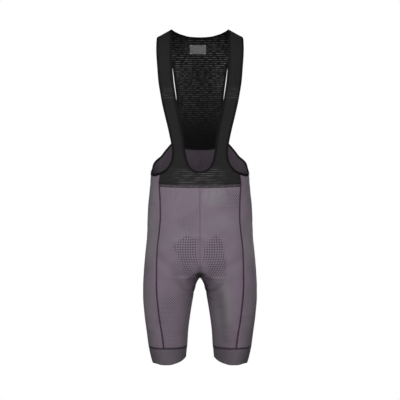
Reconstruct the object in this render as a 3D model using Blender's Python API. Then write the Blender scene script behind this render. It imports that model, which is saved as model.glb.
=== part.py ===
"""Cycling bib shorts in their worn form: hollow, and open at the neck, armholes and legs.

The frame is metres with +Z up. The front faces -Y and the wearer's left side is at +X.
The origin lies midway between the crests of the two shoulder straps.
Every table below is in millimetres and degrees. It describes the wearer's left half (+X),
and the right half mirrors it.
"""
import math

import bmesh
import bpy
from mathutils import Vector

MM = 0.001
SEAM_GAP = 0.3
SLOPE_STEP = 0.5

SHORTS_WALL = 1.6
BIB_WALL = 1.4
MESH_WALL = 1.2
GRIPPER_WALL = 1.8
BINDING_WIDTH = 3.0
BINDING_PROUD = 0.4
PAD_CLEARANCE = 3.1
PAD_EDGE = 2.0
PAD_CROWN = 9.0
LABEL_CLEARANCE = 0.9
LABEL_WALL = 1.0

# The body form, a row a section. "inner" is the inner end of the half section: it mirrors
# "outer" on the trunk, reaches 0 at the crotch and is the inside of the leg below it.
# Columns: height, outer, inner, front, middle, back, squareness.
FORM = [
    (0, 150, -150, 0, 0, 0, 2.8),
    (-2, 151, -151, 15, 0, 17, 2.8),
    (-8, 152, -152, 31, 0, 37, 2.8),
    (-20, 154, -154, 49, 0, 57, 2.8),
    (-45, 157, -157, 70, 0, 76, 2.8),
    (-85, 160, -160, 88, 0, 91, 2.8),
    (-140, 160, -160, 103, 0, 101, 2.8),
    (-210, 157, -157, 109, 0, 102, 2.7),
    (-280, 151, -151, 108, 0, 94, 2.6),
    (-345, 145, -145, 104, 0, 85, 2.5),
    (-415, 142.5, -142.5, 101, 0, 82, 2.4),
    (-460, 145.3, -145.3, 101, 0, 88, 2.4),
    (-520, 151, -151, 104, 2, 101, 2.4),
    (-570, 152.8, -152.8, 107, 5, 114, 2.35),
    (-600, 153.8, -149, 108, 7, 119, 2.3),
    (-625, 156.3, -131, 108, 9, 121, 2.3),
    (-650, 159, -100, 107, 11, 120.5, 2.25),
    (-675, 161.3, -60, 104, 13, 117.5, 2.2),
    (-695, 163, -25, 100, 14, 112.5, 2.2),
    (-708, 163.8, -9, 97, 15, 108, 2.2),
    (-719.5, 164.5, 0, 94, 15, 104, 2.2),
    (-722, 164.6, 3, 93, 15, 103, 2.2),
    (-738, 165.4, 11.5, 91, 13, 98, 2.2),
    (-773, 165.4, 20, 87, 10, 91, 2.15),
    (-825, 161.4, 28.7, 80, 6, 82, 2.1),
    (-877, 154.5, 35.1, 73, 2, 72, 2.1),
    (-920, 148.5, 37.6, 67, 0, 65, 2.1),
    (-947, 142.7, 40, 62, 0, 60, 2.1),
    (-965, 137.5, 41.5, 59, 0, 57, 2.1),
]
TRUNK_END = -570
CROTCH = -719.5

# The shoulders fall away outside the strap crests, and the fall fades out down the chest.
CREST_HALF = 82
SHOULDER_SLOPE = 0.55
SLOPE_FADE = 110

# The stomach panel and its strap, from the shoulder seam to the centre front. Each row joins a
# point of the armhole side to a point of the neck side. "drop" is measured from the crest.
# Columns: outer_x, outer_drop, inner_x, inner_drop.
BIB = [
    (121, 0, 85, 0),
    (122, 4, 84.8, 4),
    (122.5, 12, 84.4, 12),
    (122.7, 28, 84, 27),
    (122.5, 58, 83.8, 57),
    (120.5, 96, 83.4, 94),
    (116, 154, 79, 150),
    (110.8, 188, 74.5, 184),
    (104.5, 222, 69.3, 217),
    (96.4, 257, 62.5, 250),
    (88.1, 291, 56, 284),
    (80.8, 325, 49, 319),
    (76.5, 352, 46, 348),
    (77.5, 374, 42.3, 369),
    (84, 393.5, 38.5, 385),
    (97, 411, 34, 396.5),
    (112.8, 419.6, 29, 405),
    (114.4, 429, 25, 410),
    (115.6, 438.5, 20.5, 414.5),
    (116.5, 448, 15.5, 418.5),
    (93.2, 449.44, 11.5, 420.5),
    (69.9, 450.56, 8, 421.3),
    (46.6, 451.36, 5, 421.8),
    (23.3, 451.84, 2.4, 422),
    (0, 452, 0, 422),
]
BIB_CELLS = 5
ARMHOLE_ROW = 16
WAIST_ROW = 19
WAIST_DROP = 448
WAIST_SAG = 4
BAND_HEIGHT = 9.5
BAND_CELLS = 5

# The upper back, from the shoulder seams to the lumbar seam: drops down its centre line and
# along its armhole edge, and how far out that edge runs.
# Columns: centre_drop, edge_drop, edge_x.
UPPER_BACK = [
    (19, 0, 121),
    (23, 4, 120.5),
    (29, 13, 118.5),
    (39, 30, 112.5),
    (55, 53, 101),
    (78, 77, 88.5),
    (105, 103, 78.5),
    (140, 137, 74),
    (172, 170, 70),
    (203, 201, 67.8),
    (233, 231, 69.3),
    (262, 259, 72),
    (290, 284, 75),
    (318, 307, 77.8),
    (344, 327, 80),
]
NECK_DROP = 19
NECK_HALF = 85
NECK_CELLS = 5
SHOULDER_CELLS = 2
LUMBAR_HEIGHT = -344
LUMBAR_CORNER_X = 80
LUMBAR_CORNER_HEIGHT = -327

# The armhole's edge round the body: 0 degrees is the side, 90 the centre front, -90 the back.
# Columns: angle, height.
ARMHOLE = [
    (42, -419.6),
    (28, -423.5),
    (16, -420.5),
    (0, -416.5),
    (-11.5, -408.5),
    (-18.5, -393.5),
    (-27, -382.8),
    (-41, -368.5),
    (-51.4, -348.6),
    (-62.1, -327),
]

# The seams between the front, side and back panels.
# Columns: height, front_x.
SIDE_SEAM = [
    (-419.6, 112.8),
    (-448, 116.5),
    (-490, 113.8),
    (-545, 112.7),
    (-580, 115.5),
    (-646, 122.5),
    (-735, 124),
    (-800, 119.5),
    (-840, 114.5),
    (-875, 108.5),
    (-920, 103),
]
# Columns: height, angle.
BACK_SEAM = [
    (-368.5, -41),
    (-460, -41),
    (-600, -42),
    (-720, -45),
    (-820, -52),
    (-920, -60),
]

WAIST_HEIGHT = -457.5
GRIPPER_HEIGHT = -919.5
YOKE_ROWS = 3
LEVELS = [
    -480, -515, -555, -592, -626, -656, -681, -699, -711, CROTCH,
    -728, -742, -764, -798, -838, -878, GRIPPER_HEIGHT,
]
FRONT_CELLS = 6
SIDE_CELLS = 8
LUMBAR_CELLS = 5
ARMHOLE_CELLS = 3

# The leg's raw hem dips to HEM_HEIGHT and rises by HEM_RISE on the inside of the leg.
HEM_HEIGHT = -964.5
HEM_RISE = 17
HEM_POWER = 6
GRIPPER_CELLS = 32
GRIPPER_ROWS = 3

# The seat pad, one row a station along the crotch seam from the front to the back. Its edge is
# the point at "edge_x" and "edge_height"; the middle station's edge lies inside the thigh.
# Columns: side, centre_height, edge_x, edge_height.
PAD = [
    ("front", -588, 16, -590),
    ("front", -600, 40, -606),
    ("front", -625, 62, -636),
    ("front", -655, 75, -672),
    ("front", -685, 77, -704),
    ("front", -705, 68, -730),
    ("front", -716, 46, -752),
    ("thigh", CROTCH, 0, -764),
    ("back", -716, 48, -752),
    ("back", -705, 74, -730),
    ("back", -685, 86, -704),
    ("back", -655, 90, -672),
    ("back", -625, 84, -638),
    ("back", -604, 60, -610),
    ("back", -596, 26, -598),
]
PAD_CELLS = 4

LABEL_LEFT = -30.5
LABEL_RIGHT = 18
LABEL_TOP = 38
LABEL_BOTTOM = 63
LABEL_CELLS = 3

CHARCOAL = (0.020, 0.020, 0.021)
BLACK_MESH = (0.014, 0.014, 0.015)
EDGE_BLACK = (0.006, 0.006, 0.007)
PLUM_GREY = (0.165, 0.132, 0.165)
BAND_GREY = (0.060, 0.052, 0.060)
GRIPPER_GREY = (0.085, 0.073, 0.084)
PAD_GREY = (0.050, 0.048, 0.052)
LABEL_GREY = (0.130, 0.130, 0.130)


def smooth_between(keys, values, key):
    """Read a smooth curve through the table's values that never overshoots them."""
    if keys[0] > keys[-1]:
        keys = [-k for k in keys]
        key = -key
    key = min(max(key, keys[0]), keys[-1])
    index = 0
    while index < len(keys) - 2 and key > keys[index + 1]:
        index += 1
    slopes = [
        (values[i + 1] - values[i]) / (keys[i + 1] - keys[i]) for i in range(len(keys) - 1)
    ]

    def tangent(i):
        if i == 0:
            return slopes[0]
        if i == len(slopes):
            return slopes[-1]
        before, after = slopes[i - 1], slopes[i]
        if before * after <= 0:
            return 0.0
        return 2 * before * after / (before + after)

    width = keys[index + 1] - keys[index]
    t = (key - keys[index]) / width
    rise = values[index + 1] - values[index]
    start = tangent(index) * width
    end = tangent(index + 1) * width
    return (values[index] + start * t + (3 * rise - 2 * start - end) * t * t
            + (start + end - 2 * rise) * t ** 3)


def column(table, position):
    return [row[position] for row in table]


def form_at(height):
    """Return the section's centre, reach, front, middle, back and squareness at a height."""
    heights = column(FORM, 0)
    outer, inner, front, middle, back, squareness = (
        smooth_between(heights, column(FORM, i), height) for i in range(1, 7)
    )
    if height >= TRUNK_END:
        inner = -outer
    return (outer + inner) / 2, (outer - inner) / 2, front, middle, back, squareness


def rounded(value, power):
    return math.copysign(abs(value) ** power, value)


def section_point(angle, height):
    """Point of the form: 0 degrees at the side, 90 at the front, 180 inside the leg."""
    centre, reach, front, middle, back, squareness = form_at(height)
    power = 2 / squareness
    across = rounded(math.cos(math.radians(angle)), power)
    along = rounded(math.sin(math.radians(angle)), power)
    depth = front + middle if along > 0 else back - middle
    return Vector((centre + reach * across, middle - depth * along, height))


def angle_at(x, height):
    """Angle, on the front, at which the section at this height reaches x."""
    centre, reach, _, _, _, squareness = form_at(height)
    share = min(max((x - centre) / reach, -1.0), 1.0)
    return math.degrees(math.acos(rounded(share, squareness / 2)))


def chest_point(x, drop):
    """Point of the trunk: drop is below the strap crest, negative in front, positive behind."""
    level = -abs(drop)
    centre, reach, front, middle, back, squareness = form_at(level)
    bulge = max(1 - (abs(x) / reach) ** squareness, 0.0) ** (1 / squareness)
    y = middle - (front + middle) * bulge if drop < 0 else middle + (back - middle) * bulge
    fall = SHOULDER_SLOPE * max(abs(x) - CREST_HALF, 0) * max(1 + level / SLOPE_FADE, 0)
    return Vector((x, y, level - fall))


def with_normal(surface, first, second, first_step, second_step):
    """Pair a point of a surface with the direction that leaves the body there."""
    point = surface(first, second)
    along_first = surface(first + first_step, second) - surface(first - first_step, second)
    along_second = surface(first, second + second_step) - surface(first, second - second_step)
    return point, along_first.cross(along_second).normalized()


def on_section(angle, height):
    point, normal = with_normal(section_point, angle, height, SLOPE_STEP, SLOPE_STEP)
    return point, -normal


def on_chest(x, drop):
    return with_normal(chest_point, x, drop, SLOPE_STEP, SLOPE_STEP)


def mirrored(pair):
    point, normal = pair
    return Vector((-point.x, point.y, point.z)), Vector((-normal.x, normal.y, normal.z))


def mirrored_grid(grid):
    return [[mirrored(pair) for pair in row] for row in grid]


def inset(point, normal, before, after, inward):
    """Half a seam gap, square to a border that runs from before to after."""
    away = normal.cross(after - before).normalized()
    if away.dot(inward - point) < 0:
        away = -away
    return away * SEAM_GAP / 2


def trimmed(grid, closed):
    """Draw every open border of a grid in by half a seam gap."""
    last_row, last_col = len(grid) - 1, len(grid[0]) - 1
    result = []
    for r, row in enumerate(grid):
        new_row = []
        for c, (point, normal) in enumerate(row):
            moved = point.copy()
            if r in (0, last_row):
                before = row[c - 1 if closed or c else c][0]
                after = row[(c + 1) % len(row) if closed else min(c + 1, last_col)][0]
                inward = grid[1 if r == 0 else last_row - 1][c][0]
                moved += inset(point, normal, before, after, inward)
            if not closed and c in (0, last_col):
                before = grid[max(r - 1, 0)][c][0]
                after = grid[min(r + 1, last_row)][c][0]
                inward = row[1 if c == 0 else last_col - 1][0]
                moved += inset(point, normal, before, after, inward)
            new_row.append((moved, normal))
        result.append(new_row)
    return result


def make_material(name, colour, roughness):
    material = bpy.data.materials.new(name)
    material.use_nodes = True
    shader = material.node_tree.nodes["Principled BSDF"]
    shader.inputs["Base Color"].default_value = (*colour, 1)
    shader.inputs["Roughness"].default_value = roughness
    return material


def make_object(name, points, faces, material):
    """Build a closed mesh object from points in millimetres."""
    mesh = bpy.data.meshes.new(name)
    mesh.from_pydata([point * MM for point in points], [], faces)
    solid = bmesh.new()
    solid.from_mesh(mesh)
    bmesh.ops.recalc_face_normals(solid, faces=solid.faces)
    solid.to_mesh(mesh)
    solid.free()
    mesh.materials.append(material)
    made = bpy.data.objects.new(name, mesh)
    bpy.context.collection.objects.link(made)
    return made


def make_wall(name, grid, depths, material, closed=False):
    """Build a wall of cloth between two depths under the grid.

    depths(row, column) returns how far its outer and its inner face lie inside the form.
    """
    rows, cols = len(grid), len(grid[0])
    points = []
    for face in (0, 1):
        for r, row in enumerate(grid):
            for c, (point, normal) in enumerate(row):
                points.append(point - normal * depths(r, c)[face])
    inner = rows * cols
    faces = []
    spans = cols if closed else cols - 1
    for r in range(rows - 1):
        for c in range(spans):
            nxt = (c + 1) % cols
            corners = (r * cols + c, r * cols + nxt, (r + 1) * cols + nxt, (r + 1) * cols + c)
            faces.append(corners)
            faces.append(tuple(inner + corner for corner in reversed(corners)))
    border = [(c, (c + 1) % cols) for c in range(spans)]
    border += [(inner - cols + (c + 1) % cols, inner - cols + c) for c in range(spans)]
    if not closed:
        border += [((r + 1) * cols, r * cols) for r in range(rows - 1)]
        border += [((r + 1) * cols - 1, (r + 2) * cols - 1) for r in range(rows - 1)]
    faces += [(a, b, inner + b, inner + a) for a, b in border]
    return make_object(name, points, faces, material)


def make_panel(name, grid, wall, material, closed=False):
    return make_wall(name, trimmed(grid, closed), lambda r, c: (0, wall), material, closed)


def make_binding(name, edge, wall, material):
    """Build a closed loop of edging just outside a cloth edge.

    edge lists (point, normal, outward side), where the side is +1 or -1 along the loop.
    """
    points = []
    for i, (point, normal, side) in enumerate(edge):
        along = (edge[(i + 1) % len(edge)][0] - edge[i - 1][0]).normalized()
        away = normal.cross(along).normalized() * side
        near = point + away * SEAM_GAP / 2
        far = near + away * BINDING_WIDTH
        lift = normal * BINDING_PROUD
        sink = normal * (wall + BINDING_PROUD)
        points += [near + lift, far + lift, far - sink, near - sink]
    faces = []
    for i in range(len(edge)):
        here, there = 4 * i, 4 * ((i + 1) % len(edge))
        for c in range(4):
            nxt = (c + 1) % 4
            faces.append((here + c, here + nxt, there + nxt, there + c))
    return make_object(name, points, faces, material)


def bib_grid():
    """Both straps and the stomach panel, from one shoulder seam round to the other."""
    half = []
    for outer_x, outer_drop, inner_x, inner_drop in BIB:
        row = []
        for c in range(BIB_CELLS + 1):
            share = c / BIB_CELLS
            x = outer_x + (inner_x - outer_x) * share
            drop = outer_drop + (inner_drop - outer_drop) * share
            row.append(on_chest(x, -drop))
        half.append(row)
    return half + mirrored_grid(half[-2::-1])


def waist_drop(x):
    """Drop of the stomach panel's lower edge, which sags towards the centre front."""
    return WAIST_DROP + WAIST_SAG * (1 - (x / BIB[WAIST_ROW][0]) ** 2)


def band_grid():
    """The narrow band between the stomach panel and the shorts front."""
    edge = BIB[WAIST_ROW:]
    narrowing = smooth_between(column(SIDE_SEAM, 0), column(SIDE_SEAM, 1), WAIST_HEIGHT)
    narrowing /= BIB[WAIST_ROW][0]
    half = []
    for i in range(BAND_CELLS + 1):
        x = BIB[WAIST_ROW][0] * (1 - i / BAND_CELLS)
        drop = waist_drop(x)
        half.append([on_chest(x, -drop), on_chest(x * narrowing, -drop - BAND_HEIGHT)])
    return half + mirrored_grid(half[-2::-1])


def lumbar_height(angle):
    """Height of the seam between the upper back and the shorts, at an angle behind."""
    corner = angle_at(LUMBAR_CORNER_X, LUMBAR_CORNER_HEIGHT)
    share = (90 - abs(angle)) / (90 - corner)
    return LUMBAR_HEIGHT + (LUMBAR_CORNER_HEIGHT - LUMBAR_HEIGHT) * share ** 2


def upper_back_shares():
    neck = NECK_HALF / UPPER_BACK[0][2]
    shares = [neck * i / NECK_CELLS for i in range(NECK_CELLS)]
    return shares + [neck + (1 - neck) * i / SHOULDER_CELLS for i in range(SHOULDER_CELLS + 1)]


def neck_drop(x):
    """Drop of the back neckline: a round scoop between the two crests."""
    share = min(x / NECK_HALF, 1.0)
    return NECK_DROP * (1 - share ** 2.2)


def upper_back_grid():
    """A surface patch between the neckline, the armhole edges and the lumbar seam."""
    corner = angle_at(LUMBAR_CORNER_X, LUMBAR_CORNER_HEIGHT)
    shares = upper_back_shares()
    top = [(share * UPPER_BACK[0][2], neck_drop(share * UPPER_BACK[0][2])) for share in shares]
    bottom = []
    for share in shares:
        angle = 90 - (90 - corner) * share
        height = lumbar_height(angle)
        bottom.append((section_point(angle, height).x, -height))
    last = len(UPPER_BACK) - 1
    grid = []
    for r, (centre_drop, edge_drop, edge_x) in enumerate(UPPER_BACK):
        down = r / last
        half = []
        for c, share in enumerate(shares):
            x = edge_x * share
            drop = centre_drop + (edge_drop - centre_drop) * share
            top_x = top[-1][0] * share
            top_drop = NECK_DROP * (1 - share)
            bottom_x = bottom[-1][0] * share
            bottom_drop = bottom[0][1] + (bottom[-1][1] - bottom[0][1]) * share
            x += (1 - down) * (top[c][0] - top_x) + down * (bottom[c][0] - bottom_x)
            drop += (1 - down) * (top[c][1] - top_drop) + down * (bottom[c][1] - bottom_drop)
            half.append(on_chest(x, drop))
        grid.append([mirrored(pair) for pair in half[:0:-1]] + half)
    return grid


def side_seam_angle(height):
    return angle_at(smooth_between(column(SIDE_SEAM, 0), column(SIDE_SEAM, 1), height), height)


def back_seam_angle(height):
    return smooth_between(column(BACK_SEAM, 0), column(BACK_SEAM, 1), height)


def centre_angle(height):
    """Angle of the centre seam, or of the inside leg seam below the crotch."""
    if height >= TRUNK_END:
        return 90.0
    if height <= CROTCH:
        return 180.0
    return angle_at(0, height)


def clear_of_centre(pair):
    """Keep a point on its own side of the centre seam."""
    point, normal = pair
    return Vector((max(point.x, SEAM_GAP / 2), point.y, point.z)), normal


def armhole_height(angle):
    return smooth_between(column(ARMHOLE, 0), column(ARMHOLE, 1), angle)


def front_grid():
    rows = []
    for r, height in enumerate([WAIST_HEIGHT] + LEVELS):
        row = []
        for c in range(FRONT_CELLS + 1):
            share = c / FRONT_CELLS
            start, end = side_seam_angle(height), centre_angle(height)
            angle = start + (end - start) * share
            level = height
            if r == 0:
                level = -waist_drop(section_point(angle, height).x) - BAND_HEIGHT
            row.append(clear_of_centre(on_section(angle, level)))
        rows.append(row)
    return rows


def yoke_levels(top):
    """Heights from a panel's own top edge down to the waist, then the common levels."""
    steps = YOKE_ROWS + 1
    return [top + (WAIST_HEIGHT - top) * i / steps for i in range(steps + 1)] + LEVELS


def side_grid():
    columns = []
    for c in range(SIDE_CELLS + 1):
        share = c / SIDE_CELLS
        first = ARMHOLE[0][0]
        top = armhole_height(first + (back_seam_angle(BACK_SEAM[0][0]) - first) * share)
        line = []
        for height in yoke_levels(top):
            start, end = side_seam_angle(height), back_seam_angle(height)
            line.append(on_section(start + (end - start) * share, height))
        columns.append(line)
    return [list(row) for row in zip(*columns)]


def back_grid():
    corner = angle_at(LUMBAR_CORNER_X, LUMBAR_CORNER_HEIGHT)
    first = -back_seam_angle(BACK_SEAM[0][0])
    turn = (corner - first) / (90 - first)
    shares = [turn * i / ARMHOLE_CELLS for i in range(ARMHOLE_CELLS)]
    shares += [turn + (1 - turn) * i / LUMBAR_CELLS for i in range(LUMBAR_CELLS + 1)]
    columns = []
    for c, share in enumerate(shares):
        angle = first + (90 - first) * share
        top = armhole_height(-angle) if c < ARMHOLE_CELLS else lumbar_height(angle)
        line = []
        for height in yoke_levels(top):
            start, end = back_seam_angle(height), -centre_angle(height)
            line.append(clear_of_centre(on_section(start + (end - start) * share, height)))
        columns.append(line)
    return [list(row) for row in zip(*columns)]


def hem_height(angle):
    return HEM_HEIGHT + HEM_RISE * ((1 - math.cos(math.radians(angle))) / 2) ** HEM_POWER


def gripper_grid():
    rows = []
    for r in range(GRIPPER_ROWS + 1):
        row = []
        for c in range(GRIPPER_CELLS):
            angle = 360 * c / GRIPPER_CELLS
            height = GRIPPER_HEIGHT + (hem_height(angle) - GRIPPER_HEIGHT) * r / GRIPPER_ROWS
            row.append(on_section(angle if angle <= 180 else angle - 360, height))
        rows.append(row)
    return rows


def pad_grid():
    """The chamois pad, across the crotch seam from one edge to the other."""
    grid = []
    for side, centre_height, edge_x, edge_height in PAD:
        sign = -1 if side == "back" else 1
        start = centre_angle(centre_height)
        end = 180.0 if side == "thigh" else angle_at(edge_x, edge_height)
        half = []
        for c in range(PAD_CELLS + 1):
            share = c / PAD_CELLS
            angle = sign * (start + (end - start) * share)
            height = centre_height + (edge_height - centre_height) * share
            half.append(on_section(angle, height))
        point, normal = half[0]
        flat = Vector((0, normal.y, normal.z)).normalized()
        half[0] = (Vector((0, point.y, point.z)), flat / flat.dot(normal))
        grid.append([mirrored(pair) for pair in half[:0:-1]] + half)
    return grid


def pad_depths(rows, cols):
    """Depths of the pad's two faces, thickest in its middle and thin at its rim."""
    def depths(r, c):
        across = 1 - (abs(c - (cols - 1) / 2) / ((cols - 1) / 2)) ** 3
        along = 1 - (abs(r - (rows - 1) / 2) / ((rows - 1) / 2)) ** 4
        near = SHORTS_WALL + PAD_CLEARANCE
        return near, near + PAD_EDGE + (PAD_CROWN - PAD_EDGE) * across * along
    return depths


def label_grid():
    rows = []
    for r in range(LABEL_CELLS + 1):
        drop = LABEL_TOP + (LABEL_BOTTOM - LABEL_TOP) * r / LABEL_CELLS
        rows.append([
            on_chest(LABEL_LEFT + (LABEL_RIGHT - LABEL_LEFT) * c / LABEL_CELLS, drop)
            for c in range(LABEL_CELLS + 1)
        ])
    return rows


def neck_edge(bib, back):
    """The neck loop: down one strap, round the scoop, up the other, then the back neck."""
    edge = [(point, normal, -1) for point, normal in (row[-1] for row in bib)]
    middle = len(back[0]) // 2
    neck = back[0][middle - NECK_CELLS:middle + NECK_CELLS + 1]
    return edge + [(point, normal, -1) for point, normal in neck[1:-1]]


def armhole_edge(bib, side, shorts_back, back):
    """The armhole loop: down the strap, under the arm, and up the back to the shoulder."""
    strap = [row[0] for row in bib[:ARMHOLE_ROW + 1]]
    under = side[0][1:]
    rise = shorts_back[0][1:ARMHOLE_CELLS + 1]
    blade = [row[-1] for row in back[-2:0:-1]]
    return [(point, normal, 1) for point, normal in strap + under + rise + blade]


def mirrored_edge(edge):
    result = []
    for point, normal, side in edge:
        point, normal = mirrored((point, normal))
        result.append((point, normal, -side))
    return result


def build():
    for existing in list(bpy.data.objects):
        bpy.data.objects.remove(existing, do_unlink=True)

    charcoal = make_material("charcoal_knit", CHARCOAL, 0.8)
    black_mesh = make_material("black_mesh", BLACK_MESH, 0.85)
    edging = make_material("black_edging", EDGE_BLACK, 0.7)
    shorts = make_material("plum_grey_knit", PLUM_GREY, 0.75)
    band = make_material("band_grey", BAND_GREY, 0.75)
    gripper = make_material("gripper_grey", GRIPPER_GREY, 0.6)
    pad = make_material("pad_grey", PAD_GREY, 0.9)
    label = make_material("label_grey", LABEL_GREY, 0.7)

    bib, back = bib_grid(), upper_back_grid()
    make_panel("bib_front", bib, BIB_WALL, charcoal)
    make_panel("upper_back", back, MESH_WALL, black_mesh)
    make_panel("waist_band", band_grid(), SHORTS_WALL, band)

    front, side, shorts_back = front_grid(), side_grid(), back_grid()
    for name, grid in (("front", front), ("side", side), ("back", shorts_back)):
        make_panel(name + "_left", grid, SHORTS_WALL, shorts)
        make_panel(name + "_right", mirrored_grid(grid), SHORTS_WALL, shorts)

    leg_band = gripper_grid()
    make_panel("gripper_left", leg_band, GRIPPER_WALL, gripper, closed=True)
    make_panel("gripper_right", mirrored_grid(leg_band), GRIPPER_WALL, gripper, closed=True)

    make_binding("neck_binding", neck_edge(bib, back), BIB_WALL, edging)
    armhole = armhole_edge(bib, side, shorts_back, back)
    make_binding("armhole_binding_left", armhole, BIB_WALL, edging)
    make_binding("armhole_binding_right", mirrored_edge(armhole), BIB_WALL, edging)

    pad_rows = pad_grid()
    make_wall("seat_pad", pad_rows, pad_depths(len(pad_rows), len(pad_rows[0])), pad)

    near = MESH_WALL + LABEL_CLEARANCE
    make_wall("neck_label", label_grid(), lambda r, c: (near, near + LABEL_WALL), label)


build()
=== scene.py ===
import math

import bmesh
import bpy
import numpy as np
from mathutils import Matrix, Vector


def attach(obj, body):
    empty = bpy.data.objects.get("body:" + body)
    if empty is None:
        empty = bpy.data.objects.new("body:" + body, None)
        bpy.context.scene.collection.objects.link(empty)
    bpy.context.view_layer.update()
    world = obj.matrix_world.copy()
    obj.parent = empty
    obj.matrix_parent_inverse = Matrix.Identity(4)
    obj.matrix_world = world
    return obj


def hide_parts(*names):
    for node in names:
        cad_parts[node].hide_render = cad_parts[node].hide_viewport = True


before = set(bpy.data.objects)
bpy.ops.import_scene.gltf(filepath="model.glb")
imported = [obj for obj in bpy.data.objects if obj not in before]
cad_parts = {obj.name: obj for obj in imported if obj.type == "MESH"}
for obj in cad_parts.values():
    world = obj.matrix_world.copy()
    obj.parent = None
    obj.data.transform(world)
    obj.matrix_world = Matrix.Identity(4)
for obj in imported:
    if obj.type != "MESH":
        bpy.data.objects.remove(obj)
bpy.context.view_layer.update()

mm = 0.001
print("frame loaded:", len(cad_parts), "nodes")

# The body form, in millimetres: its left half (+X), which the right half mirrors.
bodyForm = {
    # height, outer, inner (the inside of the leg), front, middle, back, squareness
    "sections": [
        (0, 150, -150, 0, 0, 0, 2.8), (-2, 151, -151, 15, 0, 17, 2.8),
        (-8, 152, -152, 31, 0, 37, 2.8),
        (-20, 154, -154, 49, 0, 57, 2.8), (-45, 157, -157, 70, 0, 76, 2.8),
        (-85, 160, -160, 88, 0, 91, 2.8), (-140, 160, -160, 103, 0, 101, 2.8),
        (-210, 157, -157, 109, 0, 102, 2.7), (-280, 151, -151, 108, 0, 94, 2.6),
        (-345, 145, -145, 104, 0, 85, 2.5), (-415, 142.5, -142.5, 101, 0, 82, 2.4),
        (-460, 145.3, -145.3, 101, 0, 88, 2.4), (-520, 151, -151, 104, 2, 101, 2.4),
        (-570, 152.8, -152.8, 107, 5, 114, 2.35), (-600, 153.8, -149, 108, 7, 119, 2.3),
        (-625, 156.3, -131, 108, 9, 121, 2.3), (-650, 159, -100, 107, 11, 120.5, 2.25),
        (-675, 161.3, -60, 104, 13, 117.5, 2.2), (-695, 163, -25, 100, 14, 112.5, 2.2),
        (-708, 163.8, -8, 97, 15, 108, 2.2), (-717.5, 164.4, 0, 95, 14.6, 105.3, 2.2),
        (-722, 164.7, 5.5, 94.1, 14.3, 104, 2.2), (-728, 165, 9.2, 93.2, 14, 102.3, 2.2),
        (-740, 165.4, 14.6, 91.5, 13, 99, 2.2), (-773, 165.4, 20, 87, 10, 91, 2.15),
        (-825, 161.4, 28.7, 80, 6, 82, 2.1), (-877, 154.5, 35.1, 73, 2, 72, 2.1),
        (-920, 148.5, 37.6, 67, 0, 65, 2.1), (-947, 142.7, 40, 62, 0, 60, 2.1),
        (-965, 137.5, 41.5, 59, 0, 57, 2.1),
    ],
    "trunkEnd": -570,
    "crotch": -717.5,
    "crestHalf": 82,
    "shoulderSlope": 0.55,
    "slopeFade": 110,
    "cell": 2.6,        # size of a mesh cell on the cloth
    "seamGap": 0.3,
}


def column(table, position):
    return [row[position] for row in table]


def smoothCurve(keys, values):
    # a curve through a table's values that never overshoots them
    keys, values = np.array(keys, float), np.array(values, float)
    if keys[0] > keys[-1]:
        keys, values = keys[::-1], values[::-1]
    width = np.diff(keys)
    slope = np.diff(values) / width
    tangent = np.zeros(len(values))
    tangent[0], tangent[-1] = slope[0], slope[-1]
    before, after = slope[:-1], slope[1:]
    agree = before * after > 0
    tangent[1:-1][agree] = 2 * before[agree] * after[agree] / (before[agree] + after[agree])

    def read(key):
        key = np.clip(key, keys[0], keys[-1])
        i = np.clip(np.searchsorted(keys, key) - 1, 0, len(width) - 1)
        t = (key - keys[i]) / width[i]
        rise = values[i + 1] - values[i]
        start, end = tangent[i] * width[i], tangent[i + 1] * width[i]
        return (values[i] + start * t + (3 * rise - 2 * start - end) * t * t
                + (start + end - 2 * rise) * t ** 3)
    return read


def tableCurve(rows, position=1):
    return smoothCurve(column(rows, 0), column(rows, position))


def softStep(value, low, high):
    t = np.clip((value - low) / (high - low), 0, 1)
    return t * t * (3 - 2 * t)


def bell(value, width, power=2):
    # one in the middle, fading away beyond the width
    return np.exp(-(value / width) ** power)


def between(start, end, share):
    return start + (end - start) * share


def rounded(value, power):
    return np.sign(value) * np.abs(value) ** power


def unit(vectors):
    return vectors / np.maximum(np.linalg.norm(vectors, axis=-1, keepdims=True), 1e-12)


def crestKey(height):
    # the form is round at its crest, so its table is read along the root of the depth
    return np.sqrt(np.maximum(-np.asarray(height, float), 0))


sectionKeys = crestKey(column(bodyForm["sections"], 0))
sectionCurves = [smoothCurve(sectionKeys, column(bodyForm["sections"], i)) for i in range(1, 7)]


def formAt(height):
    # centre and half width across, front, middle and back, and squareness
    outer, inner, *rest = (curve(crestKey(height)) for curve in sectionCurves)
    inner = np.where(height >= bodyForm["trunkEnd"], -outer, inner)
    return (outer + inner) / 2, (outer - inner) / 2, *rest


def sectionPoint(angle, height):
    # 0 degrees is the side, 90 the front, -90 the back and 180 inside the leg
    angle, height = np.broadcast_arrays(np.asarray(angle, float), np.asarray(height, float))
    centre, reach, front, middle, back, squareness = formAt(height)
    across = rounded(np.cos(np.radians(angle)), 2 / squareness)
    along = rounded(np.sin(np.radians(angle)), 2 / squareness)
    depth = np.where(along > 0, front + middle, back - middle)
    return np.stack((centre + reach * across, middle - depth * along, height), -1)


def angleAt(x, height):
    centre, reach, *_, squareness = formAt(height)
    share = np.clip((x - centre) / reach, -1, 1)
    return np.degrees(np.arccos(rounded(share, squareness / 2)))


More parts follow.
